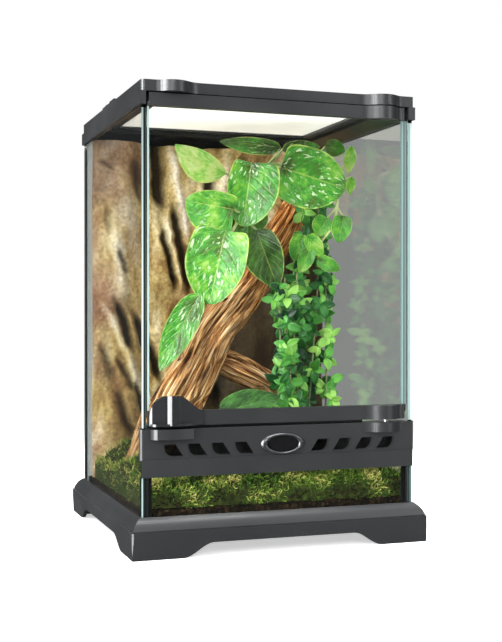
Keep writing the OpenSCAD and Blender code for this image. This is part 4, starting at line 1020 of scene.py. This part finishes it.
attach(foot_stalk, "cabinet")
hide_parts("ground_leaf")

# ---------------------------------------------------------------- creeper
# Six thin strands that hang down in front of the back right corner, with many
# small round leaves.
STRANDS = 6


def strand_point(s, t):
    """A place along a strand of the creeper."""
    turn, low = math.radians(200 * t + 70 * s), s < 3
    climb = 200 * (0.62 if s < 2 else 1) + 8 * math.sin(math.radians(90 * s))
    return Vector((27 + 9 * s + 4 * math.sin(turn) - (2 - s) * 3 * (1 - t) * (s < 2),
                   (-14 if low else 4) + (2.5 if low else 5) * math.cos(math.radians(150 * t + 110 * s)) + 2.2 * s,
                   47 + climb * t * (0.68 if s == 2 else 1))) / 1000


strands = []
for s in range(STRANDS):
    path = [strand_point(s, k / 20) * 1000 for k in range(21)]
    strands.append(sweep(path, [0.75 - 0.01 * k for k in range(21)], 6, 100, f"creeper_strand_{s}"))
for strand in strands:
    close_bar(strand)
creeper = joined(strands, "creeper_strands")
creeper.data.materials.append(stem_material("creeper stem", 0.6, 120, (0.05, 0.06, 0.02), (0.34, 0.36, 0.16)))
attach(creeper, "cabinet")
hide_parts("creeper_stems")

small = sheet("creeper_leaf", 4, 5)
for v in small.data.vertices:
    s, t = v.co.x * 2, v.co.y + 0.5
    half = math.sin(math.pi * held(t ** 0.9, 0.02, 0.985)) ** 0.7
    v.co = (s * half * 0.0034, t * 0.0112, 0.0013 * abs(s) * half - 0.003 * t * t)
random.seed(23)
places = []
for s in range(STRANDS):
    hubs = 18 if s < 3 else 22
    for k in range(hubs):
        t = 0.06 + 0.94 * (k + random.random() * 0.6) / hubs
        hub = strand_point(s, min(1, t)) + Vector([random.uniform(-0.0045, 0.0045) for _ in range(3)])
        lit = held(0.3 + 0.3 * (hub.x - 0.03) / 0.05 + random.uniform(-0.4, 0.4))
        way = random.uniform(0, FULL_TURN)
        for leaflet in range(random.choice((4, 5, 5, 6))):
            turn = Matrix.Rotation(way + leaflet * 1.25, 4, "Z")
            rise = Matrix.Rotation(random.uniform(-0.75, 0.75), 4, "X")
            face = Matrix.Rotation(math.radians(random.uniform(-35, 10)), 4, "Z")
            face = face @ Matrix.Rotation(math.radians(90 + random.uniform(-30, 30)), 4, "X")
            size = Matrix.Scale(random.uniform(0.6, 1.05), 4)
            places.append((Matrix.Translation(hub) @ face @ turn @ rise @ size,
                           held(lit + random.uniform(-0.3, 0.4))))
small_leaves = copies(small, places, "creeper_foliage")
for v in small_leaves.data.vertices:
    v.co.x = min(0.0899, v.co.x)
    v.co.z = max(0.05, v.co.z)
pick(small_leaves)
worked(small_leaves, "SOLIDIFY", thickness=0.00035)
small_mat, small_tree, small_bsdf = new_material("creeper leaf", 0.4, 0.25)
leaf_green = toned(small_tree, value_on(small_tree, "tint"), (
    (0.0, (0.006, 0.04, 0.01)), (0.4, (0.03, 0.17, 0.024)), (0.7, (0.11, 0.4, 0.055)), (1.0, (0.36, 0.66, 0.13))))
leaf_green = scaled(small_tree, leaf_green, ranged(small_tree, value_on(small_tree, "rise"), 0, 1, 1.25, 0.75))
small_tree.links.new(leaf_green, small_bsdf.inputs["Base Color"])
small_leaves.data.materials.append(small_mat)
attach(small_leaves, "cabinet")
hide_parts("creeper_leaves")
